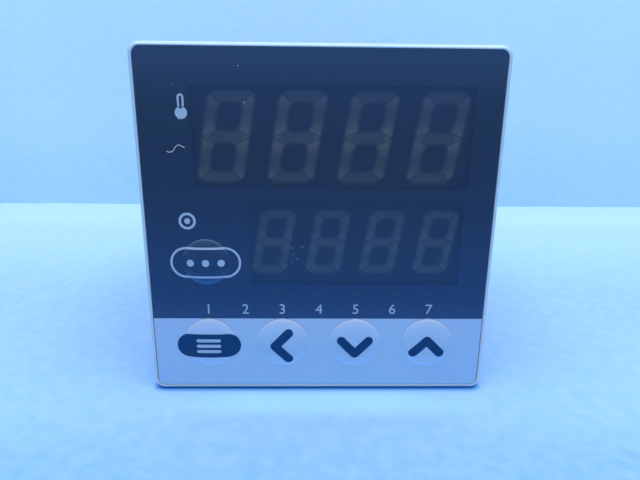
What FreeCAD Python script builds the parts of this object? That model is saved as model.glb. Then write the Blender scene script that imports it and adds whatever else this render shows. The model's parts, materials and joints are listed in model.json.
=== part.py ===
"""Panel-mounted process controller, square format, built piece by piece.

Frame, in millimetres: X to the right, Z up, Y from the operator into the panel.
The origin is the centre of the bezel's rear plane, where the case leaves the bezel;
the face is at negative Y and the wiring terminals are at the far positive Y end.
"""
import FreeCAD, Part

import math
import os

V = FreeCAD.Vector

# ----------------------------------------------------------------- bezel and film
FACE_SIZE = 48.0            # outside of the square bezel
FACE_CORNER = 1.4           # its corner radius
FACE_EDGE_BEVEL = 0.35      # bevel along the bezel's front outer edge
BEZEL_DEPTH = 6.0           # bezel front to its rear plane
BEZEL_WALL = 2.2            # bezel side wall
FRONT_WALL = 1.3            # bezel wall behind the overlay
RIM_WIDTH = 0.5             # lip that frames the overlay
RIM_HEIGHT = 0.3            # depth of the recess that the overlay lies in
OVERLAY_THICK = 0.25        # printed polyester film
OVERLAY_GAP = 0.1           # between the film's edge and the lip
OVERLAY_CORNER = 1.0

# ------------------------------------------------------------------ case and gasket
CASE_INSET = 1.6            # side of the square sleeve, inside the bezel's side
CASE_WALL = 1.6
CASE_CORNER = 1.0
CASE_LENGTH = 55.0          # from the bezel's rear plane to the terminal block
GASKET_THICK = 1.5
GASKET_INSET = 0.5          # the gasket's edge inside the bezel's
GASKET_CLEARANCE = 0.2      # between the gasket's hole and the case

# --------------------------------------------------------------------------- boards
BOARD_THICK = 1.0           # display board
DISPLAY_BOARD_FRONT = 1.5   # Y of the display board's front surface
CARD_THICK = 1.6            # the two side cards and the rear card
BOARD_CLEARANCE = 0.3       # between a board's edge and the wall beside it
CARD_INSET = 3.0            # middle plane of a side card, inside the case's side wall
CARD_FRONT = 3.0            # Y of a side card's front edge
GUIDE_HEIGHT = 1.4          # ribs in the case that hold a card's edges
GUIDE_THICK = 0.9
GUIDE_CLEARANCE = 0.1
GUIDE_START = 6.0           # Y where the ribs start
GUIDE_TO_SOCKET = 2.6       # from the ribs' rear end to the card's socket
SOCKET_SIZE = (5.0, 28.0)   # width and height of the socket at a side card's end
SOCKET_GRIP = 3.6           # length of card that the socket holds
SOCKET_FLOOR = 1.0
HEADER_SIZE = (2.5, 4.0, 20.0)  # X, Y, Z of the header that joins card and display board

# ------------------------------------------------------------------ keys and switches
KEY_SIDE_INSET = 7.9        # outer key columns, inside the overlay recess
KEY_ROW_INSET = 5.2         # lower row of keys, above the bezel's bottom wall
MODE_KEY_DROP = 2.65        # the single key, below the middle of the lower display
KEY_DOME_RADIUS = 3.75      # raised dome in the film over a lower key
MODE_DOME_RADIUS = 3.25     # the same over the single key
DOME_HEIGHT = 0.45
KEY_HOLE_INSET = 0.45       # the bezel hole is this much smaller than its dome
KEY_CLEARANCE = 0.15        # round the key in its hole
KEY_PROUD = 0.05            # how far the key stands into the hollow of its dome
KEY_EAR_REACH = 0.7         # how far the key's two ears reach past its hole
KEY_EAR_SIZE = (3.0, 0.7)   # height and thickness of an ear
KEY_TRAVEL = 0.3
SWITCH_SIZE = 6.0           # square tactile switch
SWITCH_HEIGHT = 3.5         # its body, above the board
STEM_SIZE = 2.6             # square stem between the switch and the key
STEM_SEAT = 0.6             # how far the stem reaches into the body
STEM_CLEARANCE = 0.12

# ------------------------------------------------------------------------- displays
MODULE_FACE_DEPTH = 1.05    # display face behind the bezel's front plane
MODULE_CLEARANCE = 0.2      # round a display module in its window
SEGMENT_DEPTH = 1.0         # depth of the clear filling of a segment
SEGMENT_GAP = 0.2           # dark line between neighbouring segments
SLIT_OVERRUN = 1.1          # such a line's length, as a share of the stroke's mitre
DIGIT_CORNER = 0.6          # cut at a digit's corner, as a share of the stroke
POINT_SIDE = 0.8            # side of a decimal point, as a share of the stroke
POINT_SHIFT = 0.2           # its shift to the right, as a share of the stroke
DIGIT_SLANT = math.tan(math.radians(9.5))
DIGIT_COUNT = 4
PV_LEFT, PV_RIGHT, PV_TOP = 4.65, 1.55, 2.33    # upper display, inside the bezel's walls
PV_ABOVE_SP = 0.62          # between the two displays
PV_DIGIT_WIDTH = 6.3
PV_DIGIT_MARGIN = 1.1       # above and below the digits
PV_END_MARGIN = 0.1         # before the first digit's place and after the last
PV_STROKE = 1.5
SP_LEFT, SP_RIGHT = 11.7, 1.9   # lower display, inside the bezel's walls
SP_HEIGHT = 13.0
SP_ABOVE_LAMPS = 1.05       # from the lamps' middle to the lower display
SP_DIGIT_WIDTH = 4.9
SP_DIGIT_MARGIN = 1.95
SP_END_MARGIN = 0.0
SP_STROKE = 1.15

# --------------------------------------------------------------------- status lamps
LAMP_COUNT = 7
LAMP_ABOVE_KEYS = 7.2       # from the lower row of keys to the lamps
LAMP_WINDOW = (1.6, 0.9)    # width and height of one light pipe
LAMP_CLEARANCE = 0.1
LAMP_BAR = (1.6, 0.8)       # height and thickness of the bar that joins the pipes
LED_SIZE = (1.6, 0.7, 0.8)  # width, depth and height of one lamp chip
LED_GAP = 0.2

# ------------------------------------------------------- snap arms, vents, ratchet
SNAP_WIDTH = 4.0            # the bezel's four arms
SNAP_THICK = 1.1
SNAP_REACH = 9.0            # Y of an arm's end
LATCH_WIDTH = 8.0           # the terminal block's two arms
LATCH_THICK = 1.1
LATCH_LENGTH = 5.0          # how far a latch arm reaches past the spigot
HOOK_LENGTH = 2.0           # hooks on both kinds of arm
HOOK_HEIGHT = 0.9
SNAP_CLEARANCE = 0.1
SLOT_COUNT = 7              # vent slots in one bank
SLOT_WIDTH = 1.8
SLOT_LENGTH = 6.6
SLOT_PITCH = 4.4
SLOT_START = 15.0           # Y of the first slot's middle
TOOTH_COUNT = 11            # ratchet teeth for the panel bracket
TOOTH_PITCH = 2.2
TOOTH_SLOPE = 0.8           # share of the pitch that the slope takes
TOOTH_DEPTH = 0.5
TOOTH_START = 15.0
TOOTH_WIDTH = 8.0

# ------------------------------------------------------------------- terminal block
ROW_COUNT = 6               # terminals in one column
FIN_THICK = 1.1             # barrier between rows
BLOCK_END_WALL = 1.95       # the block's top and bottom walls
COLUMN_INSET = 7.5          # a column's centre line, inside the block's side
BLOCK_LENGTH = 10.0         # terminal block behind the case
DECK_THICK = 1.6            # Y of the terminals' deck past the case's end
TOWER_CLEARANCE = 0.5       # between a terminal plate and the middle tower
TOWER_LENGTH = 8.4          # the closed tower between the columns
TOWER_WALL = 1.5
SPIGOT_LENGTH = 3.2         # part of the block that enters the case
WASHER_SIZE = 5.0           # square washer that stays on the screw
WASHER_THICK = 0.6
SCREW_HEAD_HEIGHT = 1.8
SCREW_FIN_GAP = 0.2         # between a screw's head and the fins beside it
CROSS_SIZE = (0.8, 3.4, 0.9)    # width, length and depth of the driver cross
PLATE_WIDTH = 6.2
PLATE_THICK = 0.9
PLATE_FIN_GAP = 0.3
TAIL_SIZE = (0.8, 1.6)      # the tail that runs to the rear card, X and Z
TAIL_CLEARANCE = 0.1
TAIL_PAST_CARD = 0.8

# ------------------------------------------------------------- parts on the cards
RELAY_SIZE = (9.0, 18.0, 11.0)  # X, Y, Z of one relay
RELAY_COUNT = 3
RELAY_GAP = 1.2
RELAY_TO_SOCKET = 3.6       # these three gaps share the card's free length
RELAY_TO_CHIP = 3.8
CHIP_TO_HEADER = 1.3
CHIP_SIZE = (1.4, 10.0, 10.0)
CHIP_Z = 4.0
CHIP_LEGS = (0.3, 1.2, 8.4) # thickness, reach past the body and spread of the legs
CORE_SIZE = (11.0, 16.0, 14.0)
CORE_TO_SOCKET = 5.6
CORE_Z = 6.0
CORE_LIMB = 2.4             # thickness of the core's outer limbs
CORE_LEG_HEIGHT = 4.4       # the core's middle leg
COIL_WALL = 2.2             # winding round the middle leg
COIL_CLEARANCE = 0.1
COIL_INSET = 0.2            # the winding's side, inside the core's
CAN_RADIUS = 5.0            # input capacitor
CAN_LENGTH = 17.0
CAN_TO_SOCKET = 7.6
CAN_TO_CARD_EDGE = 3.15     # above the card's lower edge
FILM_SIZE = (9.0, 5.0, 12.0)    # X, Y, Z of a film capacitor
FILM_COUNT = 2
FILM_GAP = 2.0
FILM_TO_CARD_FRONT = 7.0
FILM_TO_CARD_EDGE = 3.65

# ------------------------------------------------------------ derived positions
FACE_Y = -BEZEL_DEPTH
RECESS_Y = FACE_Y + RIM_HEIGHT              # floor of the overlay recess
OVERLAY_Y = RECESS_Y - OVERLAY_THICK        # front surface of the film
WALL_REAR_Y = RECESS_Y + FRONT_WALL         # rear of the bezel's front wall
MODULE_Y = FACE_Y + MODULE_FACE_DEPTH       # front surface of both displays
CASE_SIZE = FACE_SIZE - 2 * CASE_INSET
RECESS_SIZE = FACE_SIZE - 2 * RIM_WIDTH
CAVITY_SIZE = FACE_SIZE - 2 * BEZEL_WALL
CASE_INNER = CASE_SIZE - 2 * CASE_WALL
BOARD_SIZE = CASE_INNER - 2 * BOARD_CLEARANCE
ARM_OUTER = CASE_INNER / 2 - SNAP_CLEARANCE # outer face of every snap and latch arm
SWITCH_FRONT_Y = DISPLAY_BOARD_FRONT - SWITCH_HEIGHT
KEY_REAR_Y = WALL_REAR_Y + KEY_EAR_SIZE[1]
LED_FRONT_Y = DISPLAY_BOARD_FRONT - LED_SIZE[1]

KEY_PITCH = (RECESS_SIZE - 2 * KEY_SIDE_INSET) / 3
KEY_ROW_Z = KEY_ROW_INSET - CAVITY_SIZE / 2
LAMP_PITCH = KEY_PITCH / 2
LAMP_ROW_Z = KEY_ROW_Z + LAMP_ABOVE_KEYS
SNAP_X = KEY_PITCH                          # the arms lie midway between key columns
SP_MODULE = (CAVITY_SIZE - SP_LEFT - SP_RIGHT, SP_HEIGHT)
SP_CENTRE = ((SP_LEFT - SP_RIGHT) / 2, LAMP_ROW_Z + SP_ABOVE_LAMPS + SP_HEIGHT / 2)
SP_DIGIT = (SP_DIGIT_WIDTH, SP_HEIGHT - 2 * SP_DIGIT_MARGIN)
SP_PITCH = (SP_MODULE[0] - 2 * SP_END_MARGIN) / DIGIT_COUNT
PV_LOW = SP_CENTRE[1] + SP_HEIGHT / 2 + PV_ABOVE_SP
PV_HIGH = CAVITY_SIZE / 2 - PV_TOP
PV_MODULE = (CAVITY_SIZE - PV_LEFT - PV_RIGHT, PV_HIGH - PV_LOW)
PV_CENTRE = ((PV_LEFT - PV_RIGHT) / 2, (PV_LOW + PV_HIGH) / 2)
PV_DIGIT = (PV_DIGIT_WIDTH, PV_MODULE[1] - 2 * PV_DIGIT_MARGIN)
PV_PITCH = (PV_MODULE[0] - 2 * PV_END_MARGIN) / DIGIT_COUNT
MODE_KEY_Z = SP_CENTRE[1] - MODE_KEY_DROP

CARD_X = CASE_INNER / 2 - CARD_INSET
CARD_FACE_X = CARD_X - CARD_THICK / 2       # inner face of a side card
GUIDE_OFFSET = CARD_THICK / 2 + GUIDE_CLEARANCE
SLOT_BANK_X = (TOOTH_WIDTH / 2 + CARD_X - GUIDE_OFFSET - GUIDE_THICK) / 2
SPIGOT_FRONT_Y = CASE_LENGTH - SPIGOT_LENGTH
LATCH_END_Y = SPIGOT_FRONT_Y - LATCH_LENGTH
REAR_CARD_Y = SPIGOT_FRONT_Y - CARD_THICK   # front surface of the rear card
CARD_END_Y = REAR_CARD_Y - SOCKET_FLOOR     # rear edge of a side card
SOCKET_Y = CARD_END_Y - SOCKET_GRIP
HEADER_REAR_Y = DISPLAY_BOARD_FRONT + BOARD_THICK + HEADER_SIZE[1]
CARD_FREE = SOCKET_Y - HEADER_REAR_Y - RELAY_SIZE[1] - CHIP_SIZE[1] - 2 * CHIP_LEGS[1]
GAP_SHARE = CARD_FREE / (RELAY_TO_SOCKET + RELAY_TO_CHIP + CHIP_TO_HEADER)
RELAY_Y = SOCKET_Y - GAP_SHARE * RELAY_TO_SOCKET - RELAY_SIZE[1]
CHIP_Y = HEADER_REAR_Y + GAP_SHARE * CHIP_TO_HEADER + CHIP_LEGS[1]
CARD_HEIGHT = CASE_INNER - BOARD_CLEARANCE  # of a side card
CORE_Y = SOCKET_Y - CORE_TO_SOCKET - CORE_SIZE[1]
CORE_X = CARD_FACE_X - CORE_SIZE[0] / 2
CORE_LEG_WIDTH = CORE_SIZE[0] - 2 * (COIL_INSET + COIL_WALL + COIL_CLEARANCE)
CAN_Y = SOCKET_Y - CAN_TO_SOCKET - CAN_RADIUS
CAN_Z = CAN_TO_CARD_EDGE + CAN_RADIUS - CARD_HEIGHT / 2
FILM_Z = FILM_TO_CARD_EDGE + (FILM_SIZE[2] - CARD_HEIGHT) / 2

DECK_Y = CASE_LENGTH + DECK_THICK
BLOCK_END_Y = CASE_LENGTH + BLOCK_LENGTH
COLUMN_X = CASE_SIZE / 2 - COLUMN_INSET
ROW_PITCH = (CASE_SIZE - 2 * BLOCK_END_WALL + FIN_THICK) / ROW_COUNT
ROW_CLEAR = ROW_PITCH - FIN_THICK           # room between two fins
PLATE_HEIGHT = ROW_CLEAR - 2 * PLATE_FIN_GAP
SCREW_HEAD_RADIUS = ROW_CLEAR / 2 - SCREW_FIN_GAP
PLATE_TOP_Y = DECK_Y + PLATE_THICK
TOWER_HALF = COLUMN_X - PLATE_WIDTH / 2 - TOWER_CLEARANCE
TAIL_X = COLUMN_X - (PLATE_WIDTH - TAIL_SIZE[0]) / 2

KEY_COLUMNS = [(i - 1.5) * KEY_PITCH for i in range(4)]
KEYS = {                                    # name: X, Z and dome radius
    "mode": (KEY_COLUMNS[0], MODE_KEY_Z, MODE_DOME_RADIUS),
    "parameter": (KEY_COLUMNS[0], KEY_ROW_Z, KEY_DOME_RADIUS),
    "shift": (KEY_COLUMNS[1], KEY_ROW_Z, KEY_DOME_RADIUS),
    "down": (KEY_COLUMNS[2], KEY_ROW_Z, KEY_DOME_RADIUS),
    "up": (KEY_COLUMNS[3], KEY_ROW_Z, KEY_DOME_RADIUS),
}
LAMP_XS = [(i - (LAMP_COUNT - 1) / 2) * LAMP_PITCH for i in range(LAMP_COUNT)]
ROW_ZS = [(i - (ROW_COUNT - 1) / 2) * ROW_PITCH for i in range(ROW_COUNT)]
TERMINALS = [(side, z) for side in (-1, 1) for z in ROW_ZS]


# ------------------------------------------------------------------ shape helpers
def block(x, y, z):
    """A box from three pairs of limits, given in either order."""
    low = V(min(x), min(y), min(z))
    return Part.makeBox(max(x) - low.x, max(y) - low.y, max(z) - low.z, low)


def centred(width, y, height, x=0.0, z=0.0):
    """A box centred on (x, z), between two values of Y."""
    return block((x - width / 2, x + width / 2), y, (z - height / 2, z + height / 2))


def rod(radius, y, x=0.0, z=0.0):
    """A cylinder along Y."""
    return Part.makeCylinder(radius, y[1] - y[0], V(x, y[0], z), V(0, 1, 0))


def square(size, y, radius):
    """A square prism along Y with its four long edges rounded."""
    solid = centred(size, y, size)
    along = [e for e in solid.Edges if abs(e.Vertexes[0].Y - e.Vertexes[1].Y) > 1e-6]
    return solid.makeFillet(radius, along)


def prism(points, run):
    """A closed outline of points, extruded along the vector run."""
    return Part.Face(Part.makePolygon(points + points[:1])).extrude(run)


def turned_over(solid):
    """The same solid turned half round about Y, for what the top and bottom share."""
    copy = solid.copy()
    copy.rotate(V(0, 0, 0), V(0, 1, 0), 180)
    return copy


def joined(solids):
    return solids[0].fuse(solids[1:]).removeSplitter()


def export(name, shape):
    """Writes one named piece; several separate solids go in as a compound."""
    solids = shape.Solids
    keep = solids[0] if len(solids) == 1 else Part.makeCompound(solids)
    keep.exportStep(f"parts/{name}.step")
    print(f"{name:26s} solids {len(solids):3d}  volume {keep.Volume:10.2f}  valid {keep.isValid()}")


# --------------------------------------------------------------- overlay and domes
def dome(x, z, radius, inset, base_y):
    """Cap of the sphere of a dome's surface, inset from it and cut off at base_y."""
    sphere = (radius ** 2 + DOME_HEIGHT ** 2) / (2 * DOME_HEIGHT)
    top_y = OVERLAY_Y - DOME_HEIGHT
    ball = Part.makeSphere(sphere - inset, V(x, top_y + sphere, z))
    return ball.common(centred(2 * sphere, (top_y - 1.0, base_y), 2 * sphere, x, z))


def front_overlay():
    """One embossed film: a flat sheet with a hollow dome over each key."""
    size = RECESS_SIZE - 2 * OVERLAY_GAP
    film = square(size, (OVERLAY_Y, RECESS_Y), OVERLAY_CORNER)
    raised = [dome(x, z, r, 0.0, OVERLAY_Y) for x, z, r in KEYS.values()]
    hollows = [dome(x, z, r, OVERLAY_THICK, RECESS_Y) for x, z, r in KEYS.values()]
    return joined([film] + raised).cut(hollows)


# --------------------------------------------------------------------------- bezel
def module_window(centre, module):
    width, height = (side + 2 * MODULE_CLEARANCE for side in module)
    return centred(width, (FACE_Y, 0.0), height, *centre)


def hook(width, catch_y, tip_y):
    """A wedge on an arm's outer face: square at catch_y and running out at tip_y."""
    middle = (catch_y + tip_y) / 2
    outline = [
        V(-width / 2, catch_y, ARM_OUTER),
        V(-width / 2, catch_y, ARM_OUTER + HOOK_HEIGHT),
        V(-width / 2, middle, ARM_OUTER + HOOK_HEIGHT),
        V(-width / 2, tip_y, ARM_OUTER),
    ]
    return prism(outline, V(width, 0, 0))


def snap_arm():
    """Root against the bezel wall, thin arm into the case and hook, above the axis."""
    inner = ARM_OUTER - SNAP_THICK
    root = block((-SNAP_WIDTH / 2, SNAP_WIDTH / 2), (WALL_REAR_Y, 0.0), (inner, CAVITY_SIZE / 2))
    arm = block((-SNAP_WIDTH / 2, SNAP_WIDTH / 2), (WALL_REAR_Y, SNAP_REACH), (inner, ARM_OUTER))
    return joined([root, arm, hook(SNAP_WIDTH, SNAP_REACH - HOOK_LENGTH, SNAP_REACH)])


def snap_arms():
    arms = []
    for side in (1, -1):
        arm = snap_arm()
        arm.translate(V(side * SNAP_X, 0, 0))
        arms += [arm, turned_over(arm)]
    return arms


def front_bezel():
    """Moulded frame: lip, front wall with its windows and key holes, and snap arms."""
    shell = square(FACE_SIZE, (FACE_Y, 0.0), FACE_CORNER)
    front = [e for e in shell.Edges if all(abs(v.Y - FACE_Y) < 1e-6 for v in e.Vertexes)]
    shell = shell.makeChamfer(FACE_EDGE_BEVEL, front)
    recess = square(RECESS_SIZE, (FACE_Y, RECESS_Y), OVERLAY_CORNER + OVERLAY_GAP)
    cavity = centred(CAVITY_SIZE, (WALL_REAR_Y, 0.0), CAVITY_SIZE)
    windows = [module_window(PV_CENTRE, PV_MODULE), module_window(SP_CENTRE, SP_MODULE)]
    holes = [rod(r - KEY_HOLE_INSET, (FACE_Y, 0.0), x, z) for x, z, r in KEYS.values()]
    width, height = (side + 2 * LAMP_CLEARANCE for side in LAMP_WINDOW)
    lamps = [centred(width, (FACE_Y, 0.0), height, x, LAMP_ROW_Z) for x in LAMP_XS]
    frame = shell.cut([recess, cavity] + windows + holes + lamps)
    return joined([frame] + snap_arms())


# ------------------------------------------------------------------------- displays
def slanted(points, centre, y):
    """A prism from (u, v) points about centre, leaning to the right as v rises."""
    outline = [V(centre[0] + u + v * DIGIT_SLANT, y[0], centre[1] + v) for u, v in points]
    return prism(outline, V(0, y[1] - y[0], 0))


def rectangle(left, low, right, high):
    return [(left, low), (right, low), (right, high), (left, high)]


def eight(width, height, corner):
    """Outline of the digit, its four corners cut off."""
    w, h = width / 2, height / 2
    c, d = w - corner, h - corner
    return [(-c, -h), (c, -h), (w, -d), (w, d), (c, h), (-c, h), (-w, d), (-w, -d)]


def separator(start, run):
    """A thin slit from an inner corner outwards, a little long at both ends."""
    length = math.hypot(*run)
    du, dv = (part / length * SEGMENT_GAP / 2 for part in run)
    near = (start[0] - du, start[1] - dv)
    far = (start[0] + SLIT_OVERRUN * run[0], start[1] + SLIT_OVERRUN * run[1])
    ends = [(near, 1), (near, -1), (far, -1), (far, 1)]
    return [(end[0] - side * dv, end[1] + side * du) for end, side in ends]


def seven_segments(centre, digit, stroke, y):
    """A figure eight, cut into its seven segments by thin slanting gaps."""
    inner_w, inner_h, bar = digit[0] / 2 - stroke, digit[1] / 2 - stroke, stroke / 2
    outlines = [rectangle(-inner_w, bar, inner_w, inner_h), rectangle(-inner_w, -inner_h, inner_w, -bar)]
    for side in (1, -1):
        for level in (1, -1):
            outlines.append(separator((side * inner_w, level * inner_h), (side * stroke, level * stroke)))
            outlines.append(separator((side * inner_w, level * bar), (side * stroke, -level * bar)))
    figure = slanted(eight(*digit, stroke * DIGIT_CORNER), centre, y)
    return figure.cut([slanted(outline, centre, y) for outline in outlines]).Solids


def decimal_point(centre, digit, pitch, stroke, y):
    """A small square at the digit's foot, midway to the next digit."""
    half = stroke * POINT_SIDE / 2
    u, v = (digit[0] + pitch) / 4 + stroke * POINT_SHIFT, (stroke - digit[1]) / 2
    return slanted(rectangle(u - half, v - half, u + half, v + half), centre, y)


def display_segments(centre, digit, pitch, stroke):
    """The clear fillings of one display: seven segments and a point for each digit."""
    y = (MODULE_Y, MODULE_Y + SEGMENT_DEPTH)
    solids = []
    for i in range(DIGIT_COUNT):
        middle = (centre[0] + (i - (DIGIT_COUNT - 1) / 2) * pitch, centre[1])
        solids += seven_segments(middle, digit, stroke, y)
        solids.append(decimal_point(middle, digit, pitch, stroke, y))
    return Part.makeCompound(solids)


def display_housing(centre, module, segments):
    """The module's block, with a pocket for each segment filling."""
    body = centred(module[0], (MODULE_Y, DISPLAY_BOARD_FRONT), module[1], *centre)
    return body.cut(segments)


# ---------------------------------------------------------------------- status lamps
def indicator_light_guide():
    """One clear moulding: a bar with a light pipe through it for each lamp."""
    height, thick = LAMP_BAR
    width = LAMP_XS[-1] - LAMP_XS[0] + 2 * LAMP_WINDOW[0]
    bar = centred(width, (WALL_REAR_Y, WALL_REAR_Y + thick), height, 0.0, LAMP_ROW_Z)
    span = (RECESS_Y, LED_FRONT_Y - LED_GAP)
    pipes = [centred(LAMP_WINDOW[0], span, LAMP_WINDOW[1], x, LAMP_ROW_Z) for x in LAMP_XS]
    return joined([bar] + pipes)


def indicator_leds():
    width, _, height = LED_SIZE
    span = (LED_FRONT_Y, DISPLAY_BOARD_FRONT)
    return Part.makeCompound([centred(width, span, height, x, LAMP_ROW_Z) for x in LAMP_XS])


# ------------------------------------------------------------------ keys and switches
def key(x, z, dome_radius):
    """Round key that ends under its dome, with two ears behind the bezel's wall."""
    hole = dome_radius - KEY_HOLE_INSET
    body = rod(hole - KEY_CLEARANCE, (RECESS_Y - KEY_PROUD, KEY_REAR_Y), x, z)
    ears = centred(2 * (hole + KEY_EAR_REACH), (WALL_REAR_Y, KEY_REAR_Y), KEY_EAR_SIZE[0], x, z)
    return joined([body, ears])


def switch_stem(x, z):
    return centred(STEM_SIZE, (KEY_REAR_Y, SWITCH_FRONT_Y + STEM_SEAT), STEM_SIZE, x, z)


def tactile_switches():
    """The five fixed switch bodies, each with the well that its stem moves in."""
    well_size = STEM_SIZE + 2 * STEM_CLEARANCE
    well = (SWITCH_FRONT_Y, SWITCH_FRONT_Y + STEM_SEAT + KEY_TRAVEL + STEM_CLEARANCE)
    bodies = []
    for x, z, _ in KEYS.values():
        body = centred(SWITCH_SIZE, (SWITCH_FRONT_Y, DISPLAY_BOARD_FRONT), SWITCH_SIZE, x, z)
        bodies.append(body.cut(centred(well_size, well, well_size, x, z)))
    return Part.makeCompound(bodies)


# ------------------------------------------------------------------- case and gasket
def panel_gasket():
    span = (0.0, GASKET_THICK)
    hole = CASE_SIZE + 2 * GASKET_CLEARANCE
    ring = square(FACE_SIZE - 2 * GASKET_INSET, span, FACE_CORNER)
    return ring.cut(centred(hole, span, hole))


def vent_slots():
    """Banks of slots through the top and bottom walls, beside the ratchet."""
    slots = []
    for x in (-SLOT_BANK_X, SLOT_BANK_X):
        for i in range(SLOT_COUNT):
            start = SLOT_START + i * SLOT_PITCH - SLOT_WIDTH / 2
            slots.append(centred(SLOT_LENGTH, (start, start + SLOT_WIDTH), 2 * CASE_SIZE, x))
    return slots


def ratchet_grooves():
    """Sawtooth grooves across the middle of the top and bottom, for the panel bracket."""
    x, outer = -TOOTH_WIDTH / 2, CASE_SIZE / 2
    grooves = []
    for i in range(TOOTH_COUNT):
        y = TOOTH_START + i * TOOTH_PITCH
        outline = [V(x, y, outer), V(x, y, outer - TOOTH_DEPTH), V(x, y + TOOTH_PITCH * TOOTH_SLOPE, outer)]
        tooth = prism(outline, V(TOOTH_WIDTH, 0, 0))
        grooves += [tooth, turned_over(tooth)]
    return grooves


def hook_windows():
    """Openings that the bezel's hooks and the terminal block's hooks catch in."""
    gap = SNAP_CLEARANCE
    front = (SNAP_REACH - HOOK_LENGTH - gap, SNAP_REACH + gap)
    rear = (LATCH_END_Y - gap, LATCH_END_Y + HOOK_LENGTH + gap)
    windows = [centred(LATCH_WIDTH + 4 * gap, rear, 2 * CASE_SIZE)]
    for x in (-SNAP_X, SNAP_X):
        windows.append(centred(SNAP_WIDTH + 4 * gap, front, 2 * CASE_SIZE, x))
    return windows


def card_guides():
    """Pairs of ribs inside the top and bottom walls, one each side of a card's edge."""
    inner = CASE_INNER / 2
    ribs = []
    for card_x in (-CARD_X, CARD_X):
        for x in (card_x - GUIDE_OFFSET - GUIDE_THICK, card_x + GUIDE_OFFSET):
            for level in (1, -1):
                z = (level * inner, level * (inner - GUIDE_HEIGHT))
                ribs.append(block((x, x + GUIDE_THICK), (GUIDE_START, SOCKET_Y - GUIDE_TO_SOCKET), z))
    return ribs


def rear_case():
    """Square sleeve from the bezel to the terminal block."""
    span = (0.0, CASE_LENGTH)
    sleeve = square(CASE_SIZE, span, CASE_CORNER).cut(centred(CASE_INNER, span, CASE_INNER))
    return joined([sleeve] + card_guides()).cut(vent_slots() + ratchet_grooves() + hook_windows())


# ----------------------------------------------------------------------------- boards
def display_board():
    """Board behind the displays, notched for the bezel's snap arms."""
    span = (DISPLAY_BOARD_FRONT, DISPLAY_BOARD_FRONT + BOARD_THICK)
    half = SNAP_WIDTH / 2 + BOARD_CLEARANCE
    low = ARM_OUTER - SNAP_THICK - BOARD_CLEARANCE
    notches = []
    for x in (-SNAP_X, SNAP_X):
        for level in (1, -1):
            notches.append(block((x - half, x + half), span, (level * low, level * CASE_INNER / 2)))
    return centred(BOARD_SIZE, span, BOARD_SIZE).cut(notches)


def side_card(side):
    return centred(CARD_THICK, (CARD_FRONT, CARD_END_Y), CARD_HEIGHT, side * CARD_X)


def rear_card():
    """Card against the terminal block, notched for its latches, with a slot for each tail."""
    span = (REAR_CARD_Y, SPIGOT_FRONT_Y)
    half = LATCH_WIDTH / 2 + BOARD_CLEARANCE
    low = ARM_OUTER - LATCH_THICK - BOARD_CLEARANCE
    notches = [block((-half, half), span, (level * low, level * CASE_INNER / 2)) for level in (1, -1)]
    return centred(BOARD_SIZE, span, BOARD_SIZE).cut(notches + tail_slots(span))


def board_headers():
    """Pin headers that join the display board to the front of each side card."""
    width, depth, height = HEADER_SIZE
    span = (HEADER_REAR_Y - depth, HEADER_REAR_Y)
    x = CARD_FACE_X - width / 2
    return Part.makeCompound([centred(width, span, height, s * x) for s in (1, -1)])


def card_sockets():
    """Slotted sockets on the rear card, one for the end of each side card."""
    width, height = SOCKET_SIZE
    sockets = []
    for x in (-CARD_X, CARD_X):
        body = centred(width, (SOCKET_Y, REAR_CARD_Y), height, x)
        slot = centred(CARD_THICK + GUIDE_CLEARANCE, (0.0, CARD_END_Y), 2 * height, x)
        sockets.append(body.cut(slot))
    return Part.makeCompound(sockets)


def on_card(side, size, y, z):
    """A box standing on the inner face of a side card."""
    x = side * (CARD_FACE_X - size[0] / 2)
    return centred(size[0], (y, y + size[1]), size[2], x, z)


def output_relays():
    step = RELAY_SIZE[2] + RELAY_GAP
    zs = [(i - (RELAY_COUNT - 1) / 2) * step for i in range(RELAY_COUNT)]
    return Part.makeCompound([on_card(-1, RELAY_SIZE, RELAY_Y, z) for z in zs])


def microcontroller():
    thick, reach, spread = CHIP_LEGS
    legs = on_card(-1, (thick, CHIP_SIZE[1] + 2 * reach, spread), CHIP_Y - reach, CHIP_Z)
    return joined([on_card(-1, CHIP_SIZE, CHIP_Y, CHIP_Z), legs])


def transformer_core():
    """Closed core frame, with the middle leg that carries the winding."""
    span = (CORE_Y + CORE_LIMB, CORE_Y + CORE_SIZE[1] - CORE_LIMB)
    opening = centred(2 * CORE_SIZE[0], span, CORE_SIZE[2] - 2 * CORE_LIMB, CORE_X, CORE_Z)
    leg = centred(CORE_LEG_WIDTH, span, CORE_LEG_HEIGHT, CORE_X, CORE_Z)
    return joined([on_card(1, CORE_SIZE, CORE_Y, CORE_Z).cut(opening), leg])


def transformer_winding():
    """Winding round the core's middle leg, clear of the core all round."""
    inset = CORE_LIMB + COIL_CLEARANCE
    span = (CORE_Y + inset, CORE_Y + CORE_SIZE[1] - inset)
    coil = centred(CORE_SIZE[0] - 2 * COIL_INSET, span, CORE_SIZE[2] - 2 * inset, CORE_X, CORE_Z)
    width, height = CORE_LEG_WIDTH + 2 * COIL_CLEARANCE, CORE_LEG_HEIGHT + 2 * COIL_CLEARANCE
    return coil.cut(centred(width, span, height, CORE_X, CORE_Z))


def input_capacitor():
    return Part.makeCylinder(CAN_RADIUS, CAN_LENGTH, V(CARD_FACE_X, CAN_Y, CAN_Z), V(-1, 0, 0))


def film_capacitors():
    first, step = CARD_FRONT + FILM_TO_CARD_FRONT, FILM_SIZE[1] + FILM_GAP
    ys = [first + i * step for i in range(FILM_COUNT)]
    return Part.makeCompound([on_card(1, FILM_SIZE, y, FILM_Z) for y in ys])


# -------------------------------------------------------------------- terminal block
def tail_slots(span):
    width, height = (side + 2 * TAIL_CLEARANCE for side in TAIL_SIZE)
    return [centred(width, span, height, side * TAIL_X, z) for side, z in TERMINALS]


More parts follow.
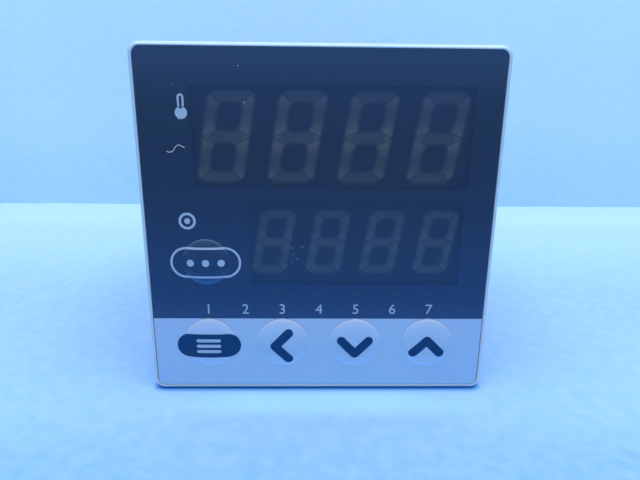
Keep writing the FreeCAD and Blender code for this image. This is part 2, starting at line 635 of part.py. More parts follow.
def latch_arms():
    """Arms from the spigot into the case, with hooks for the case's rear windows."""
    half = LATCH_WIDTH / 2
    arm = block((-half, half), (LATCH_END_Y, CASE_LENGTH), (ARM_OUTER - LATCH_THICK, ARM_OUTER))
    whole = joined([arm, hook(LATCH_WIDTH, LATCH_END_Y + HOOK_LENGTH, LATCH_END_Y)])
    return [whole, turned_over(whole)]


def terminal_block():
    """Deck and spigot, a hollow tower between the columns and fins between the rows."""
    flange = square(CASE_SIZE, (CASE_LENGTH, DECK_Y), CASE_CORNER)
    outline = square(CASE_SIZE, (CASE_LENGTH, BLOCK_END_Y), CASE_CORNER)
    spigot = centred(2 * ARM_OUTER, (SPIGOT_FRONT_Y, CASE_LENGTH), 2 * ARM_OUTER)
    tower_y = (CASE_LENGTH, CASE_LENGTH + TOWER_LENGTH)
    tower = centred(2 * TOWER_HALF, tower_y, CASE_SIZE)
    fins = [
        centred(CASE_SIZE, (CASE_LENGTH, BLOCK_END_Y), FIN_THICK, 0.0, (i - ROW_COUNT / 2) * ROW_PITCH)
        for i in range(1, ROW_COUNT)
    ]
    end_z = (CASE_SIZE - BLOCK_END_WALL) / 2
    walls = [centred(CASE_SIZE, (CASE_LENGTH, BLOCK_END_Y), BLOCK_END_WALL, 0.0, z) for z in (end_z, -end_z)]
    outside = joined([tower] + fins + walls).common(outline)
    hollow_y = (0.0, tower_y[1] - TOWER_WALL)
    hollow = centred(2 * (TOWER_HALF - TOWER_WALL), hollow_y, 2 * (ARM_OUTER - LATCH_THICK) - TOWER_WALL)
    body = joined([flange, spigot, outside]).cut([hollow] + tail_slots((SPIGOT_FRONT_Y, DECK_Y)))
    return joined([body] + latch_arms())


def terminal_plates():
    """Brass terminals: a plate on the deck and a tail through the block to the rear card."""
    tail_y = (REAR_CARD_Y - TAIL_PAST_CARD, DECK_Y)
    plates = []
    for side, z in TERMINALS:
        plate = centred(PLATE_WIDTH, (DECK_Y, PLATE_TOP_Y), PLATE_HEIGHT, side * COLUMN_X, z)
        tail = centred(TAIL_SIZE[0], tail_y, TAIL_SIZE[1], side * TAIL_X, z)
        plates.append(joined([plate, tail]))
    return Part.makeCompound(plates)


def terminal_screws():
    """A screw on each terminal: square washer and round head with a driver cross."""
    width, length, depth = CROSS_SIZE
    washer_top = PLATE_TOP_Y + WASHER_THICK
    top = washer_top + SCREW_HEAD_HEIGHT
    screws = []
    for side, z in TERMINALS:
        x = side * COLUMN_X
        washer = centred(WASHER_SIZE, (PLATE_TOP_Y, washer_top), WASHER_SIZE, x, z)
        head = rod(SCREW_HEAD_RADIUS, (washer_top, top), x, z)
        cross = [centred(a, (top - depth, top), b, x, z) for a, b in ((width, length), (length, width))]
        screws.append(joined([washer, head]).cut(cross))
    return Part.makeCompound(screws)


# ------------------------------------------------------------------------ all pieces
def main():
    os.makedirs("parts", exist_ok=True)
    pv_segments = display_segments(PV_CENTRE, PV_DIGIT, PV_PITCH, PV_STROKE)
    sp_segments = display_segments(SP_CENTRE, SP_DIGIT, SP_PITCH, SP_STROKE)
    export("front_overlay", front_overlay())
    export("front_bezel", front_bezel())
    export("panel_gasket", panel_gasket())
    export("rear_case", rear_case())
    export("pv_display_segments", pv_segments)
    export("pv_display_housing", display_housing(PV_CENTRE, PV_MODULE, pv_segments))
    export("sp_display_segments", sp_segments)
    export("sp_display_housing", display_housing(SP_CENTRE, SP_MODULE, sp_segments))
    export("indicator_light_guide", indicator_light_guide())
    export("indicator_leds", indicator_leds())
    for name, (x, z, radius) in KEYS.items():
        export(f"{name}_key", key(x, z, radius))
        export(f"{name}_switch_stem", switch_stem(x, z))
    export("tactile_switches", tactile_switches())
    export("display_board", display_board())
    export("control_card", side_card(-1))
    export("power_card", side_card(1))
    export("rear_card", rear_card())
    export("board_headers", board_headers())
    export("card_sockets", card_sockets())
    export("output_relays", output_relays())
    export("microcontroller", microcontroller())
    export("transformer_core", transformer_core())
    export("transformer_winding", transformer_winding())
    export("input_capacitor", input_capacitor())
    export("film_capacitors", film_capacitors())
    export("terminal_block", terminal_block())
    export("terminal_plates", terminal_plates())
    export("terminal_screws", terminal_screws())


main()
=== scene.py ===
# %% [markdown]
# # A panel-mount temperature controller, 48 mm square
# The controller sits in a square cut-out of a machine's panel, with only its bezel in
# front. An embossed film covers the whole face: a dark field with two see-through windows
# for the digits, and a light strip with the keys. Every place below comes from the CAD
# frame, which is in metres, with Z up and the face looking along -Y.

# %% Load the frame and keep its box
import json
import math
import random

import bpy
import numpy as np
from mathutils import Matrix, Vector
from mathutils.geometry import delaunay_2d_cdt


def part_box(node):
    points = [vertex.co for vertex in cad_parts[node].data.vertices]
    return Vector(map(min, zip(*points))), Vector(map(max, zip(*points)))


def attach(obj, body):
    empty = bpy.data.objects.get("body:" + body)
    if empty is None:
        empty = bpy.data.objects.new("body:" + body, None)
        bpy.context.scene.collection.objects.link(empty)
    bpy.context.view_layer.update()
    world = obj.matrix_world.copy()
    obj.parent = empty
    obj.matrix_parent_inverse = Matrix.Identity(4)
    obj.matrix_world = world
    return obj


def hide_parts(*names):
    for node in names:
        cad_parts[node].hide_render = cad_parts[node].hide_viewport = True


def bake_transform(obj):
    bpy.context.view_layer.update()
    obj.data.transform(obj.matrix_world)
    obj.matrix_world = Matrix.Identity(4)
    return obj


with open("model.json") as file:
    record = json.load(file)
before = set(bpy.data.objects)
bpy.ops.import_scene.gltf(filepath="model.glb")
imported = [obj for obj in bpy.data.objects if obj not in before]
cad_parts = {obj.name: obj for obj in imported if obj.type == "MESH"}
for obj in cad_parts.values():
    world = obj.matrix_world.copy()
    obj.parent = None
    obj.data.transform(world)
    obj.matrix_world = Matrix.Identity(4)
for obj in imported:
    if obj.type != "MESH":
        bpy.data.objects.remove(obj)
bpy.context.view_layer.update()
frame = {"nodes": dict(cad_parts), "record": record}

print("nodes:", len(frame["nodes"]))

# %% [markdown]
# ## Sizes read from the CAD pieces
# People measure such a device in millimetres and Blender counts in metres, so one helper
# reads a piece's box in millimetres and every later helper writes metres. The film's
# place, the five keys and the two displays are all read from their own solids.

# %% Millimetres, and where the film and keys are
MM = 0.001
CASE = "controller_case"
FILM_THICK = 0.25
DOME_PAST_KEY = 0.6     # a dome's radius, past the round key under it
PRINT_ROOM = 0.02       # left in front of a dome, so that the print stays in the CAD box
KEY_BODIES = {name: f"{name}_button" for name in ("mode", "parameter", "shift", "down", "up")}


def box_mm(node):
    """The two corners of a CAD piece at rest, in millimetres."""
    return tuple(Vector(corner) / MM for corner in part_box(node))


film_low, film_high = box_mm("front_overlay")
FILM_HALF = film_high.x
FILM_Y = film_high.y - FILM_THICK
DOME_RISE = FILM_Y - film_low.y - PRINT_ROOM
KEYS = {}               # for each key, its middle across and up, and the radius of its dome
for name in KEY_BODIES:
    low, high = box_mm(f"{name}_key")
    radius = (high.z - low.z) / 2 + DOME_PAST_KEY
    KEYS[name] = ((low.x + high.x) / 2, (low.z + high.z) / 2, radius)
print("film front at y", round(FILM_Y, 3), "domes rise", round(DOME_RISE, 3))
print("keys:", {name: tuple(round(v, 2) for v in key) for name, key in KEYS.items()})

# %% [markdown]
# ## Outlines and filled shapes
# Print and film are thin shapes with exact borders: round holes, pills, arrows. Each is
# drawn as closed outlines in the plane of the face. A constrained Delaunay fill turns the
# outlines into triangles without moving a border, which a Boolean on a dense grid can't
# promise.

# %% Outlines in the plane of the face, in millimetres
AROUND = 96             # points round a dome
SNAP = 1e-5             # points nearer than this become one


def ring(x, z, radius, count=AROUND):
    """A round outline."""
    turns = [2 * math.pi * i / count for i in range(count)]
    return [(x + radius * math.cos(t), z + radius * math.sin(t)) for t in turns]


def pill(left, low, right, high, corner=None, steps=10):
    """A rectangle with round corners; with no corner given its short ends are half round."""
    r = min(right - left, high - low) / 2 - 1e-4 if corner is None else corner
    middles = [(right - r, high - r), (left + r, high - r),
               (left + r, low + r), (right - r, low + r)]
    loop = []
    for quarter, (x, z) in enumerate(middles):
        for i in range(steps + 1):
            turn = math.pi / 2 * (quarter + i / steps)
            loop.append((x + r * math.cos(turn), z + r * math.sin(turn)))
    return loop


def capsule(first, second, width, steps=12):
    """A straight line of even width with round ends."""
    turn = math.atan2(second[1] - first[1], second[0] - first[0])
    loop = []
    for (x, z), side in ((second, -0.5), (first, 0.5)):
        for i in range(steps + 1):
            angle = turn + math.pi * (side + i / steps)
            loop.append((x + width / 2 * math.cos(angle), z + width / 2 * math.sin(angle)))
    return loop


def divided(loop, step=0.25):
    """The same outline with its long sides divided, so that it can bend over a dome."""
    result = []
    for (x0, z0), (x1, z1) in zip(loop, loop[1:] + loop[:1]):
        parts = max(1, math.ceil(math.hypot(x1 - x0, z1 - z0) / step))
        result += [(x0 + (x1 - x0) * i / parts, z0 + (z1 - z0) * i / parts)
                   for i in range(parts)]
    return result


def inside(places, loop):
    """For each place, whether a closed outline goes round it."""
    x, z = places[:, 0], places[:, 1]
    result = np.zeros(len(places), bool)
    for (x0, z0), (x1, z1) in zip(loop, loop[1:] + loop[:1]):
        if z0 != z1:
            crosses = (z0 > z) != (z1 > z)
            result ^= crosses & (x < x0 + (z - z0) / (z1 - z0) * (x1 - x0))
    return result


def triangles(loops, spacing=None, lines=()):
    """Triangles that keep every outline and line as edges, and the triangles' middles."""
    places, edges = [], []
    for loop in loops:
        first = len(places)
        places += loop
        edges += [(first + i, first + (i + 1) % len(loop)) for i in range(len(loop))]
    for line in lines:
        first = len(places)
        places += line
        edges += [(first + i, first + i + 1) for i in range(len(line) - 1)]
    if spacing:
        every = np.array([p for loop in loops for p in loop])
        low, high = every.min(0), every.max(0)
        places += [
            (x, z)
            for x in np.arange(low[0] + spacing / 2, high[0], spacing)
            for z in np.arange(low[1] + spacing / 2, high[1], spacing)
        ]
    found = delaunay_2d_cdt([Vector(p) for p in places], edges, [], 0, SNAP)
    corners, faces = np.array([tuple(p) for p in found[0]]), found[2]
    return corners, faces, np.array([corners[list(face)].mean(0) for face in faces])


# %% [markdown]
# ## From millimetres to a mesh
# A mesh made point by point is exact and quick, and it needs no object mode. Each face
# names its own material, so one sheet can hold several prints.

# %% A mesh piece from points in millimetres
def linked(name, data):
    """A new object in the scene."""
    made = bpy.data.objects.new(name, data)
    bpy.context.scene.collection.objects.link(made)
    return made


def piece(name, points, faces, materials, picks=None, smooth=False):
    """A mesh object; picks gives the material of each face."""
    mesh = bpy.data.meshes.new(name)
    places = [tuple(float(c) * MM for c in point) for point in points]
    mesh.from_pydata(places, [], [tuple(face) for face in faces])
    for material in materials:
        mesh.materials.append(material)
    if picks is not None:
        mesh.polygons.foreach_set("material_index", list(picks))
    mesh.polygons.foreach_set("use_smooth", [smooth] * len(mesh.polygons))
    mesh.update()
    return linked(name, mesh)


def kept(corners, faces, keep):
    """The faces that keep marks, and only the points that they use."""
    faces = [tuple(face) for face, wanted in zip(faces, keep) if wanted]
    used = sorted({i for face in faces for i in face})
    new = {old: i for i, old in enumerate(used)}
    return corners[used], [tuple(new[i] for i in face) for face in faces]


# %% [markdown]
# ## Shader helpers
# A material is a small network. Naming a node's inputs in one call keeps each network
# short enough to read in one go, and what many networks do has a helper. Colours are
# written as the screen shows them and turned into the linear values that light is
# counted in.

# %% Nodes, links and colours
FLOAT, VECTOR = "NodeSocketFloat", "NodeSocketVector"


def shown(red, green, blue):
    """A screen colour from 0 to 255 as a linear colour."""
    parts = [c / 255 for c in (red, green, blue)]
    return [c / 12.92 if c <= 0.04045 else ((c + 0.055) / 1.055) ** 2.4 for c in parts] + [1.0]


def node(tree, kind, inputs=None, **settings):
    """A shader node; each input takes a value or another node's output."""
    made = tree.nodes.new("ShaderNode" + kind)
    for setting, value in settings.items():
        setattr(made, setting, value)
    for socket, value in (inputs or {}).items():
        if isinstance(value, bpy.types.NodeSocket):
            tree.links.new(value, made.inputs[socket])
        else:
            made.inputs[socket].default_value = value
    return made


def maths(tree, operation, *values, clamp=False):
    """The result of one sum on values or outputs."""
    made = node(tree, "Math", dict(enumerate(values)), operation=operation, use_clamp=clamp)
    return made.outputs[0]


def spread(tree, value, low, high):
    """A share that goes from 0 to 1 as the value goes from low to high."""
    return node(tree, "MapRange", {0: value, 1: low, 2: high}).outputs[0]


def blended(tree, share, first, second):
    """A colour between two others; 0, 6 and 7 are the Mix node's sockets for colours."""
    return node(tree, "Mix", {0: share, 6: first, 7: second}, data_type="RGBA").outputs[2]


def through(tree, share, stops, interpolation="LINEAR"):
    """The colour at a share of the way through a row of stops."""
    ramp = node(tree, "ValToRGB", {0: share})
    ramp.color_ramp.interpolation = interpolation
    for i, (at, colour) in enumerate(stops):
        stop = ramp.color_ramp.elements[i] if i < 2 else ramp.color_ramp.elements.new(1.0)
        stop.position, stop.color = at, shown(*colour)
    return ramp.outputs["Color"]


def normal_part(tree, part):
    """How far the surface faces along one axis of the world."""
    return node(tree, "SeparateXYZ", {0: node(tree, "NewGeometry").outputs["Normal"]}).outputs[part]


def place_in(tree):
    """The place in the CAD frame."""
    return node(tree, "TexCoord").outputs["Object"]


def place_parts(tree):
    """The same, with an output for each axis."""
    return node(tree, "SeparateXYZ", {0: place_in(tree)}).outputs


def noise(tree, place, scale, detail, **more):
    """Noise with so many waves to the metre."""
    inputs = {"Vector": place, "Scale": scale, "Detail": detail, **more}
    return node(tree, "TexNoise", inputs).outputs["Fac"]


def new_group(name, inputs, outputs):
    """An empty node group, and the sockets at its start and at its end."""
    tree = bpy.data.node_groups.new(name, "ShaderNodeTree")
    for label, value in inputs.items():
        tree.interface.new_socket(label, in_out="INPUT", socket_type=FLOAT).default_value = value
    for label, kind in outputs.items():
        tree.interface.new_socket(label, in_out="OUTPUT", socket_type=kind)
    return (tree, tree.nodes.new("NodeGroupInput").outputs,
            tree.nodes.new("NodeGroupOutput").inputs)


def use(tree, name, **values):
    """The outputs of a group placed in a network; an underscore stands for a space."""
    made = tree.nodes.new("ShaderNodeGroup")
    made.node_tree = bpy.data.node_groups[name]
    for label, value in values.items():
        made.inputs[label.replace("_", " ")].default_value = value
    return made.outputs


def new_material(name):
    """An empty material, its network and its shader."""
    material = bpy.data.materials.new(name)
    material.use_nodes = True
    return material, material.node_tree, material.node_tree.nodes["Principled BSDF"]


def finish_shader(tree, shader, colour, roughness, **bump):
    """Gives a shader its colour, its roughness and a bump."""
    tree.links.new(colour, shader.inputs["Base Color"])
    tree.links.new(roughness, shader.inputs["Roughness"])
    relief = node(tree, "Bump", bump)
    tree.links.new(relief.outputs["Normal"], shader.inputs["Normal"])


# %% [markdown]
# ## Shared effects
# Moulded plastic is never quite smooth: the steel of its mould leaves a fine grain, edges
# are worn a little lighter, hands leave duller patches and dust settles on top. Each of
# these is one node group with its own values in every material, so one change reaches the
# whole device.

# %% Grain: the fine texture of a moulded or cast surface
grain, start, end = new_group("surface_grain", {"Size": 0.2}, {"Height": FLOAT, "Tone": FLOAT})
place = place_in(grain)
per_metre = maths(grain, "DIVIDE", 1000.0, start["Size"])
fine = noise(grain, place, per_metre, 3.0, Roughness=0.6)
broad = noise(grain, place, maths(grain, "MULTIPLY", per_metre, 0.06), 4.0)
grain.links.new(fine, end["Height"])
tone = maths(grain, "MULTIPLY_ADD", broad, 0.7, 0.15)
grain.links.new(maths(grain, "MULTIPLY_ADD", fine, 0.3, tone, clamp=True), end["Tone"])
print("group", grain.name)

# %% Edges: the small round of a moulded edge, and the wear on it
edges, start, end = new_group("rounded_edge", {"Radius": 0.0001}, {"Normal": VECTOR, "Wear": FLOAT})
bevel = node(edges, "Bevel", {"Radius": start["Radius"]}, samples=6)
flat = node(edges, "NewGeometry").outputs["Normal"]
turn = node(edges, "VectorMath", {0: bevel.outputs["Normal"], 1: flat}, operation="DOT_PRODUCT")
bent = maths(edges, "SUBTRACT", 1.0, turn.outputs["Value"])
edges.links.new(bevel.outputs["Normal"], end["Normal"])
edges.links.new(maths(edges, "MULTIPLY", bent, 5.0, clamp=True), end["Wear"])
print("group", edges.name)

# %% Dust: a haze on what faces up, and single specks anywhere
dust, start, end = new_group("settled_dust", {"Haze": 0.3, "Specks": 0.2}, {"Mask": FLOAT})
place = place_in(dust)
up = maths(dust, "MAXIMUM", normal_part(dust, "Z"), 0.0)
cloudy = maths(dust, "MULTIPLY", up, noise(dust, place, 160.0, 5.0, Roughness=0.65))
haze = maths(dust, "MULTIPLY", cloudy, start["Haze"])
cells = node(dust, "TexVoronoi", {"Vector": place, "Scale": 1400.0, "Randomness": 1.0})
chance = node(dust, "SeparateColor", {0: cells.outputs["Color"]}).outputs[0]
rare = maths(dust, "GREATER_THAN", chance, 0.93)      # one cell in fourteen has a speck
dot = maths(dust, "LESS_THAN", cells.outputs["Distance"], 0.16)
speck = maths(dust, "MULTIPLY", maths(dust, "MULTIPLY", rare, dot), start["Specks"])
dust.links.new(maths(dust, "ADD", haze, speck, clamp=True), end["Mask"])
print("group", dust.name)

# %% Handling: soft patches where fingers have dulled or polished a surface
handling, start, end = new_group("handled_patches", {"Size": 6.0}, {"Value": FLOAT})
per_metre = maths(handling, "DIVIDE", 1000.0, start["Size"])
swirl = noise(handling, place_in(handling), per_metre, 2.0, Distortion=0.8)
handling.links.new(swirl, end["Value"])
print("group", handling.name)

# %% Drawn metal: fine lines left by rolling or turning
drawn, start, end = new_group("drawn_lines", {"Pitch": 0.08}, {"Height": FLOAT})
per_metre = maths(drawn, "DIVIDE", 1000.0, start["Pitch"])
along_x = (0.04, 1.0, 1.0)
long = node(drawn, "VectorMath", {0: place_in(drawn), 1: along_x}, operation="MULTIPLY")
drawn.links.new(noise(drawn, long.outputs["Vector"], per_metre, 2.0), end["Height"])
print("group", drawn.name)

# %% [markdown]
# ## One recipe for the solid materials
# Plastic, rubber, metal and epoxy differ in colour, gloss, grain and wear, and not in how
# those are put together. The recipe lays them in order: base colour with a slow change of
# tone, lighter worn edges, then dust. Roughness follows the handled patches, and the
# grain is a bump on top of the rounded edge. A part can also have painted light on its
# lower bevel, a paler colour that stands in for light from the table.

# %% The recipe
DUST_COLOUR = shown(176, 190, 204)
PATCH_SWING = 0.16      # how much a handled patch changes the roughness
DUST_DULLS = 0.3        # how much dust adds to it
WORN_PALER = 0.35       # how far a worn edge goes towards white
LINE_DEPTH = 0.8        # of drawn lines, in depths of the grain
# painted highlight: a lower bevel's colour stands in for light from the table
PAINTED_LIP_GAIN = 2.0          # a bevel at 45 degrees has the lip's colour in full


def solid(name, colour, roughness, grain_size=0.2, bump=0.15, mottle=0.12, wear=0.25,
          haze=0.25, specks=0.15, edge=0.12, metallic=0.0, lines=0.0, painted_lip_light=None):
    """A finished material for one kind of solid part; grain and edge are in millimetres."""
    material, tree, shader = new_material(name)
    shader.inputs["Metallic"].default_value = metallic
    grained = use(tree, "surface_grain", Size=grain_size)
    rounded = use(tree, "rounded_edge", Radius=edge * MM)
    dusted = use(tree, "settled_dust", Haze=haze, Specks=specks)
    patches = use(tree, "handled_patches", Size=6.0)
    base = shown(*colour)
    dark = [c * (1 - mottle) for c in base[:3]] + [1.0]
    light = [min(c * (1 + mottle) + 0.002, 1.0) for c in base[:3]] + [1.0]
    worn = [c + (1.0 - c) * WORN_PALER for c in base[:3]] + [1.0]
    toned = blended(tree, grained["Tone"], dark, light)
    edged = blended(tree, maths(tree, "MULTIPLY", rounded["Wear"], wear), toned, worn)
    # painted highlight: where the surface looks forward and down, its colour goes towards the lip
    # light
    if painted_lip_light:     # where the surface looks forward and down, Y and Z are both below 0
        lean = maths(tree, "MULTIPLY", normal_part(tree, "Y"), normal_part(tree, "Z"))
        share = maths(tree, "MULTIPLY", lean, PAINTED_LIP_GAIN, clamp=True)
        edged = blended(tree, share, edged, shown(*painted_lip_light))
    gloss = maths(tree, "MULTIPLY_ADD", patches["Value"], PATCH_SWING,
                  roughness - PATCH_SWING / 2)
    dull = maths(tree, "MULTIPLY_ADD", dusted["Mask"], DUST_DULLS, gloss, clamp=True)
    height = grained["Height"]
    if lines:
        scored = use(tree, "drawn_lines", Pitch=lines)["Height"]
        height = maths(tree, "MULTIPLY_ADD", scored, LINE_DEPTH, height)
    finish_shader(tree, shader, blended(tree, dusted["Mask"], edged, DUST_COLOUR), dull,
                  Strength=bump, Distance=grain_size * MM, Height=height,
                  Normal=rounded["Normal"])
    return material


# %% [markdown]
# ## Materials of the moulded and metal parts
# The bezel and the case are the same pale grey plastic with a fine spark-eroded texture.
# Behind the face the parts have the colours that their makers use most: green boards,
# dark relays, a ferrite core with a copper winding, black terminal plastic with plated
# brass and steel.

# %% Case, gasket, keys and terminals
PALE_GREY = (148, 179, 200)
# each row: name, colour, roughness, size of the grain, bump, mottle, wear
FINISHES = {
    "case_plastic": solid("pale_grey_plastic", PALE_GREY, 0.42, 0.14, 0.12, 0.05, 0.3),
    "gasket_rubber": solid("black_rubber", (34, 37, 42), 0.72, 0.25, 0.3, 0.2, 0.3),
    "key_plastic": solid("dark_key_plastic", (46, 50, 58), 0.5, 0.2),
    "switch_plastic": solid("switch_plastic", (24, 26, 30), 0.46, 0.15),
    "connector_plastic": solid("ivory_connector_plastic", (196, 188, 168), 0.45, 0.2, 0.1, 0.08),
    "terminal_plastic": solid("black_terminal_plastic", (30, 32, 35), 0.4, 0.3, 0.22, 0.25, 0.4),
    "terminal_brass": solid("plated_brass", (196, 172, 112), 0.3, 0.1, 0.06, 0.15, 0.3,
                            metallic=1.0, lines=0.09),
    "screw_steel": solid("zinc_plated_steel", (178, 182, 188), 0.3, 0.08, 0.06, 0.18, 0.3,
                         metallic=1.0, lines=0.12),
}
print("finishes:", ", ".join(FINISHES))

# %% Parts on the boards
FINISHES |= {
    "display_plastic": solid("black_display_plastic", (17, 19, 23), 0.5, 0.12,
                             haze=0.0, specks=0.0),
    "light_guide_plastic": solid("milky_light_guide", (150, 160, 165), 0.3, 0.3, 0.05, haze=0.0),
    "led_epoxy": solid("clear_lamp_epoxy", (202, 200, 178), 0.25, 0.2, 0.05, haze=0.0),
    "relay_plastic": solid("dark_relay_plastic", (28, 36, 54), 0.38, 0.2, 0.12),
    "chip_plastic": solid("chip_epoxy", (27, 27, 29), 0.62, 0.08, 0.25),
    "ferrite": solid("sintered_ferrite", (52, 52, 55), 0.66, 0.35, 0.4, 0.25),
    "copper_winding": solid("enamelled_copper", (168, 92, 48), 0.32, 0.12, 0.3, 0.2,
                            metallic=0.8, lines=0.25),
    "capacitor_sleeve": solid("capacitor_sleeve", (22, 34, 66), 0.3, 0.3, 0.06, 0.1),
    "film_capacitor_case": solid("film_capacitor_case", (150, 58, 36), 0.4, 0.3, 0.1, 0.12),
}
print("finishes so far:", len(FINISHES))

# %% The bezel's own finish, with painted light on its lower lip
OWN_FINISH = {
    # the bezel's lower bevel carries a painted highlight of light from the table
    "front_bezel": solid("bezel_plastic", PALE_GREY, 0.42, 0.14, 0.12, 0.05, 0.3,
                         painted_lip_light=(215, 238, 252)),
}
print("own finishes:", len(OWN_FINISH))

# %% [markdown]
# ## Circuit boards
# A board is green solder resist over glass cloth, with copper tracks that show as lighter
# raised lines. The weave and the tracks are the same on all four boards, so this is one
# material that reads its place in the frame.

# %% The board material
board, tree, shader = new_material("green_circuit_board")
place = place_in(tree)
weave = node(tree, "TexWave", {"Vector": place, "Scale": 900.0, "Distortion": 1.0})
tracks = node(tree, "TexBrick", {"Vector": place, "Scale": 260.0, "Mortar Size": 0.035,
                                 "Mortar Smooth": 0.1})
track = maths(tree, "SUBTRACT", 1.0, tracks.outputs["Fac"])
resist = blended(tree, weave.outputs["Fac"], shown(16, 74, 48), shown(20, 84, 54))
tracked = blended(tree, track, resist, shown(34, 112, 72))
dusted = use(tree, "settled_dust", Haze=0.3, Specks=0.2)
gloss = maths(tree, "MULTIPLY_ADD", weave.outputs["Fac"], 0.1, 0.28)
finish_shader(tree, shader, blended(tree, dusted["Mask"], tracked, DUST_COLOUR), gloss,
              Strength=0.3, Distance=0.04 * MM, Height=track)
FINISHES["circuit_board"] = board
print("board material with", len(tree.nodes), "nodes")

# %% [markdown]
# ## Digits behind the windows
# An unlit segment is a milky filling in a black block. It is palest near the ends of the
# upright strokes, where the filling is deepest over the lamp chips. The filling is cast
# with round corners outside and inside, its edges fade into the block, and thin dark walls
# part the strokes. Both displays lean alike and differ only in size, so one group works
# out where a point lies within its digit, and the block and its fillings share it.

# %% Where a point lies within a digit
DIGITS, SLANT = 4, math.tan(math.radians(9.5))
OUTER_ROUND, INNER_ROUND = 0.95, 0.7    # radii of the corners, in strokes
FADE = 2.6              # how fast a filling fades at its edges, per stroke
OUTER_SHARE, INNER_SHARE = 0.35, 0.45   # how much of it is left right at an edge
WALL = 0.06             # half a dark wall between two strokes, in strokes
digit, start, end = new_group(
    "digit_patches", {"Middle X": 0.0, "Middle Z": 0.0, "Pitch": 0.01, "Half Width": 0.003,
                      "Half Height": 0.006, "Stroke": 0.0015},
    {"Value": FLOAT, "Filling": FLOAT, "Corner": FLOAT})
pitch, stroke = start["Pitch"], start["Stroke"]
half_w, half_h = start["Half Width"], start["Half Height"]


def sums(operation, *values, clamp=False):
    """A sum within the digit group."""
    return maths(digit, operation, *values, clamp=clamp)


def past(u, v, half_u, half_v, share):
    """How far a point is outside a box with round corners, in strokes."""
    radius = sums("MULTIPLY", stroke, share)
    out_u = sums("MAXIMUM", sums("SUBTRACT", u, sums("SUBTRACT", half_u, radius)), 0.0)
    out_v = sums("MAXIMUM", sums("SUBTRACT", v, sums("SUBTRACT", half_v, radius)), 0.0)
    squares = sums("ADD", sums("MULTIPLY", out_u, out_u), sums("MULTIPLY", out_v, out_v))
    return sums("DIVIDE", sums("SUBTRACT", sums("SQRT", squares), radius), stroke)


place = place_parts(digit)
z = sums("SUBTRACT", place["Z"], start["Middle Z"])
x = sums("SUBTRACT", place["X"], start["Middle X"])
cell = sums("DIVIDE", sums("SUBTRACT", x, sums("MULTIPLY", z, SLANT)), pitch)
above_zero = sums("ADD", cell, 2.0 * DIGITS)            # FRACT is simplest above zero
wrapped = sums("SUBTRACT", sums("FRACT", above_zero), 0.5)
u = sums("MULTIPLY", sums("ABSOLUTE", wrapped), pitch)  # from the digit's middle, across
v = sums("ABSOLUTE", z)                                 # and up or down
outside = past(u, v, half_w, half_h, OUTER_ROUND)
rim = sums("MULTIPLY_ADD", outside, -FADE, OUTER_SHARE, clamp=True)

# %% Round corners inside a digit, and its palest patches
hole_w = sums("SUBTRACT", half_w, stroke)
hole_middle = sums("MULTIPLY_ADD", stroke, -0.25, sums("MULTIPLY", half_h, 0.5))
hole_h = sums("MULTIPLY_ADD", stroke, -0.75, sums("MULTIPLY", half_h, 0.5))
w = sums("ABSOLUTE", sums("SUBTRACT", v, hole_middle))
past_hole = past(u, w, hole_w, hole_h, INNER_ROUND)
inner_rim = sums("MULTIPLY_ADD", past_hole, FADE, INNER_SHARE, clamp=True)
filling = sums("MULTIPLY", rim, inner_rim)
to_side, to_bar = sums("SUBTRACT", hole_w, u), sums("SUBTRACT", hole_h, w)
in_hole = sums("MULTIPLY", sums("GREATER_THAN", to_side, 0.0), sums("GREATER_THAN", to_bar, 0.0))
from_wall = sums("ABSOLUTE", sums("SUBTRACT", to_side, to_bar))
beside_wall = sums("GREATER_THAN", from_wall, sums("MULTIPLY", stroke, WALL))
open_corner = sums("MULTIPLY", in_hole, beside_wall)
cornered = sums("MULTIPLY", filling, sums("MULTIPLY_ADD", open_corner, 0.6, 0.4))
digit.links.new(cornered, end["Corner"])
digit.links.new(filling, end["Filling"])
to_edge = sums("SUBTRACT", half_w, u)
below_mitre = sums("LESS_THAN", to_edge, sums("SUBTRACT", half_h, v))
above_middle = sums("LESS_THAN", to_edge, sums("MULTIPLY_ADD", stroke, 0.5, v))
upright = sums("MULTIPLY", below_mitre, above_middle)
wave = sums("COSINE", sums("MULTIPLY", sums("DIVIDE", v, half_h), 2 * math.pi))
swell = sums("MULTIPLY", upright, sums("MULTIPLY_ADD", wave, 0.5, 0.5))
digit.links.new(sums("MULTIPLY_ADD", swell, 0.7, 0.3), end["Value"])
print("group", digit.name, "with", len(digit.nodes), "nodes")


# %% A material for each display's fillings, and one for its block
BLOCK_COLOUR = shown(20, 22, 24)
MILK_SWING = 0.7        # how far the milk's tone moves between dim and bright


def segment_material(name, housing, shape, dim, bright, mask="Filling"):
    """Milky filling in dark plastic; shape is as PV_SHAPE below."""
    low, high = box_mm(housing)
    material, tree, shader = new_material(name)
    pitch, half_w, half_h, stroke = (length * MM for length in shape)
    patch = use(tree, "digit_patches", Pitch=pitch, Half_Width=half_w, Half_Height=half_h,
                Stroke=stroke, Middle_X=(low.x + high.x) / 2 * MM,
                Middle_Z=(low.z + high.z) / 2 * MM)
    milk = use(tree, "surface_grain", Size=0.35)
    uneven = maths(tree, "MULTIPLY_ADD", milk["Tone"], MILK_SWING, -MILK_SWING / 2)
    share = maths(tree, "ADD", patch["Value"], uneven, clamp=True)
    milky = blended(tree, share, shown(*dim), shown(*bright))
    gloss = maths(tree, "MULTIPLY_ADD", milk["Tone"], 0.2, 0.3)
    finish_shader(tree, shader, blended(tree, patch[mask], BLOCK_COLOUR, milky), gloss,
                  Strength=0.1, Distance=0.05 * MM, Height=milk["Height"])
    return material


pv_low, pv_high = box_mm("pv_display_housing")
sp_low, sp_high = box_mm("sp_display_housing")
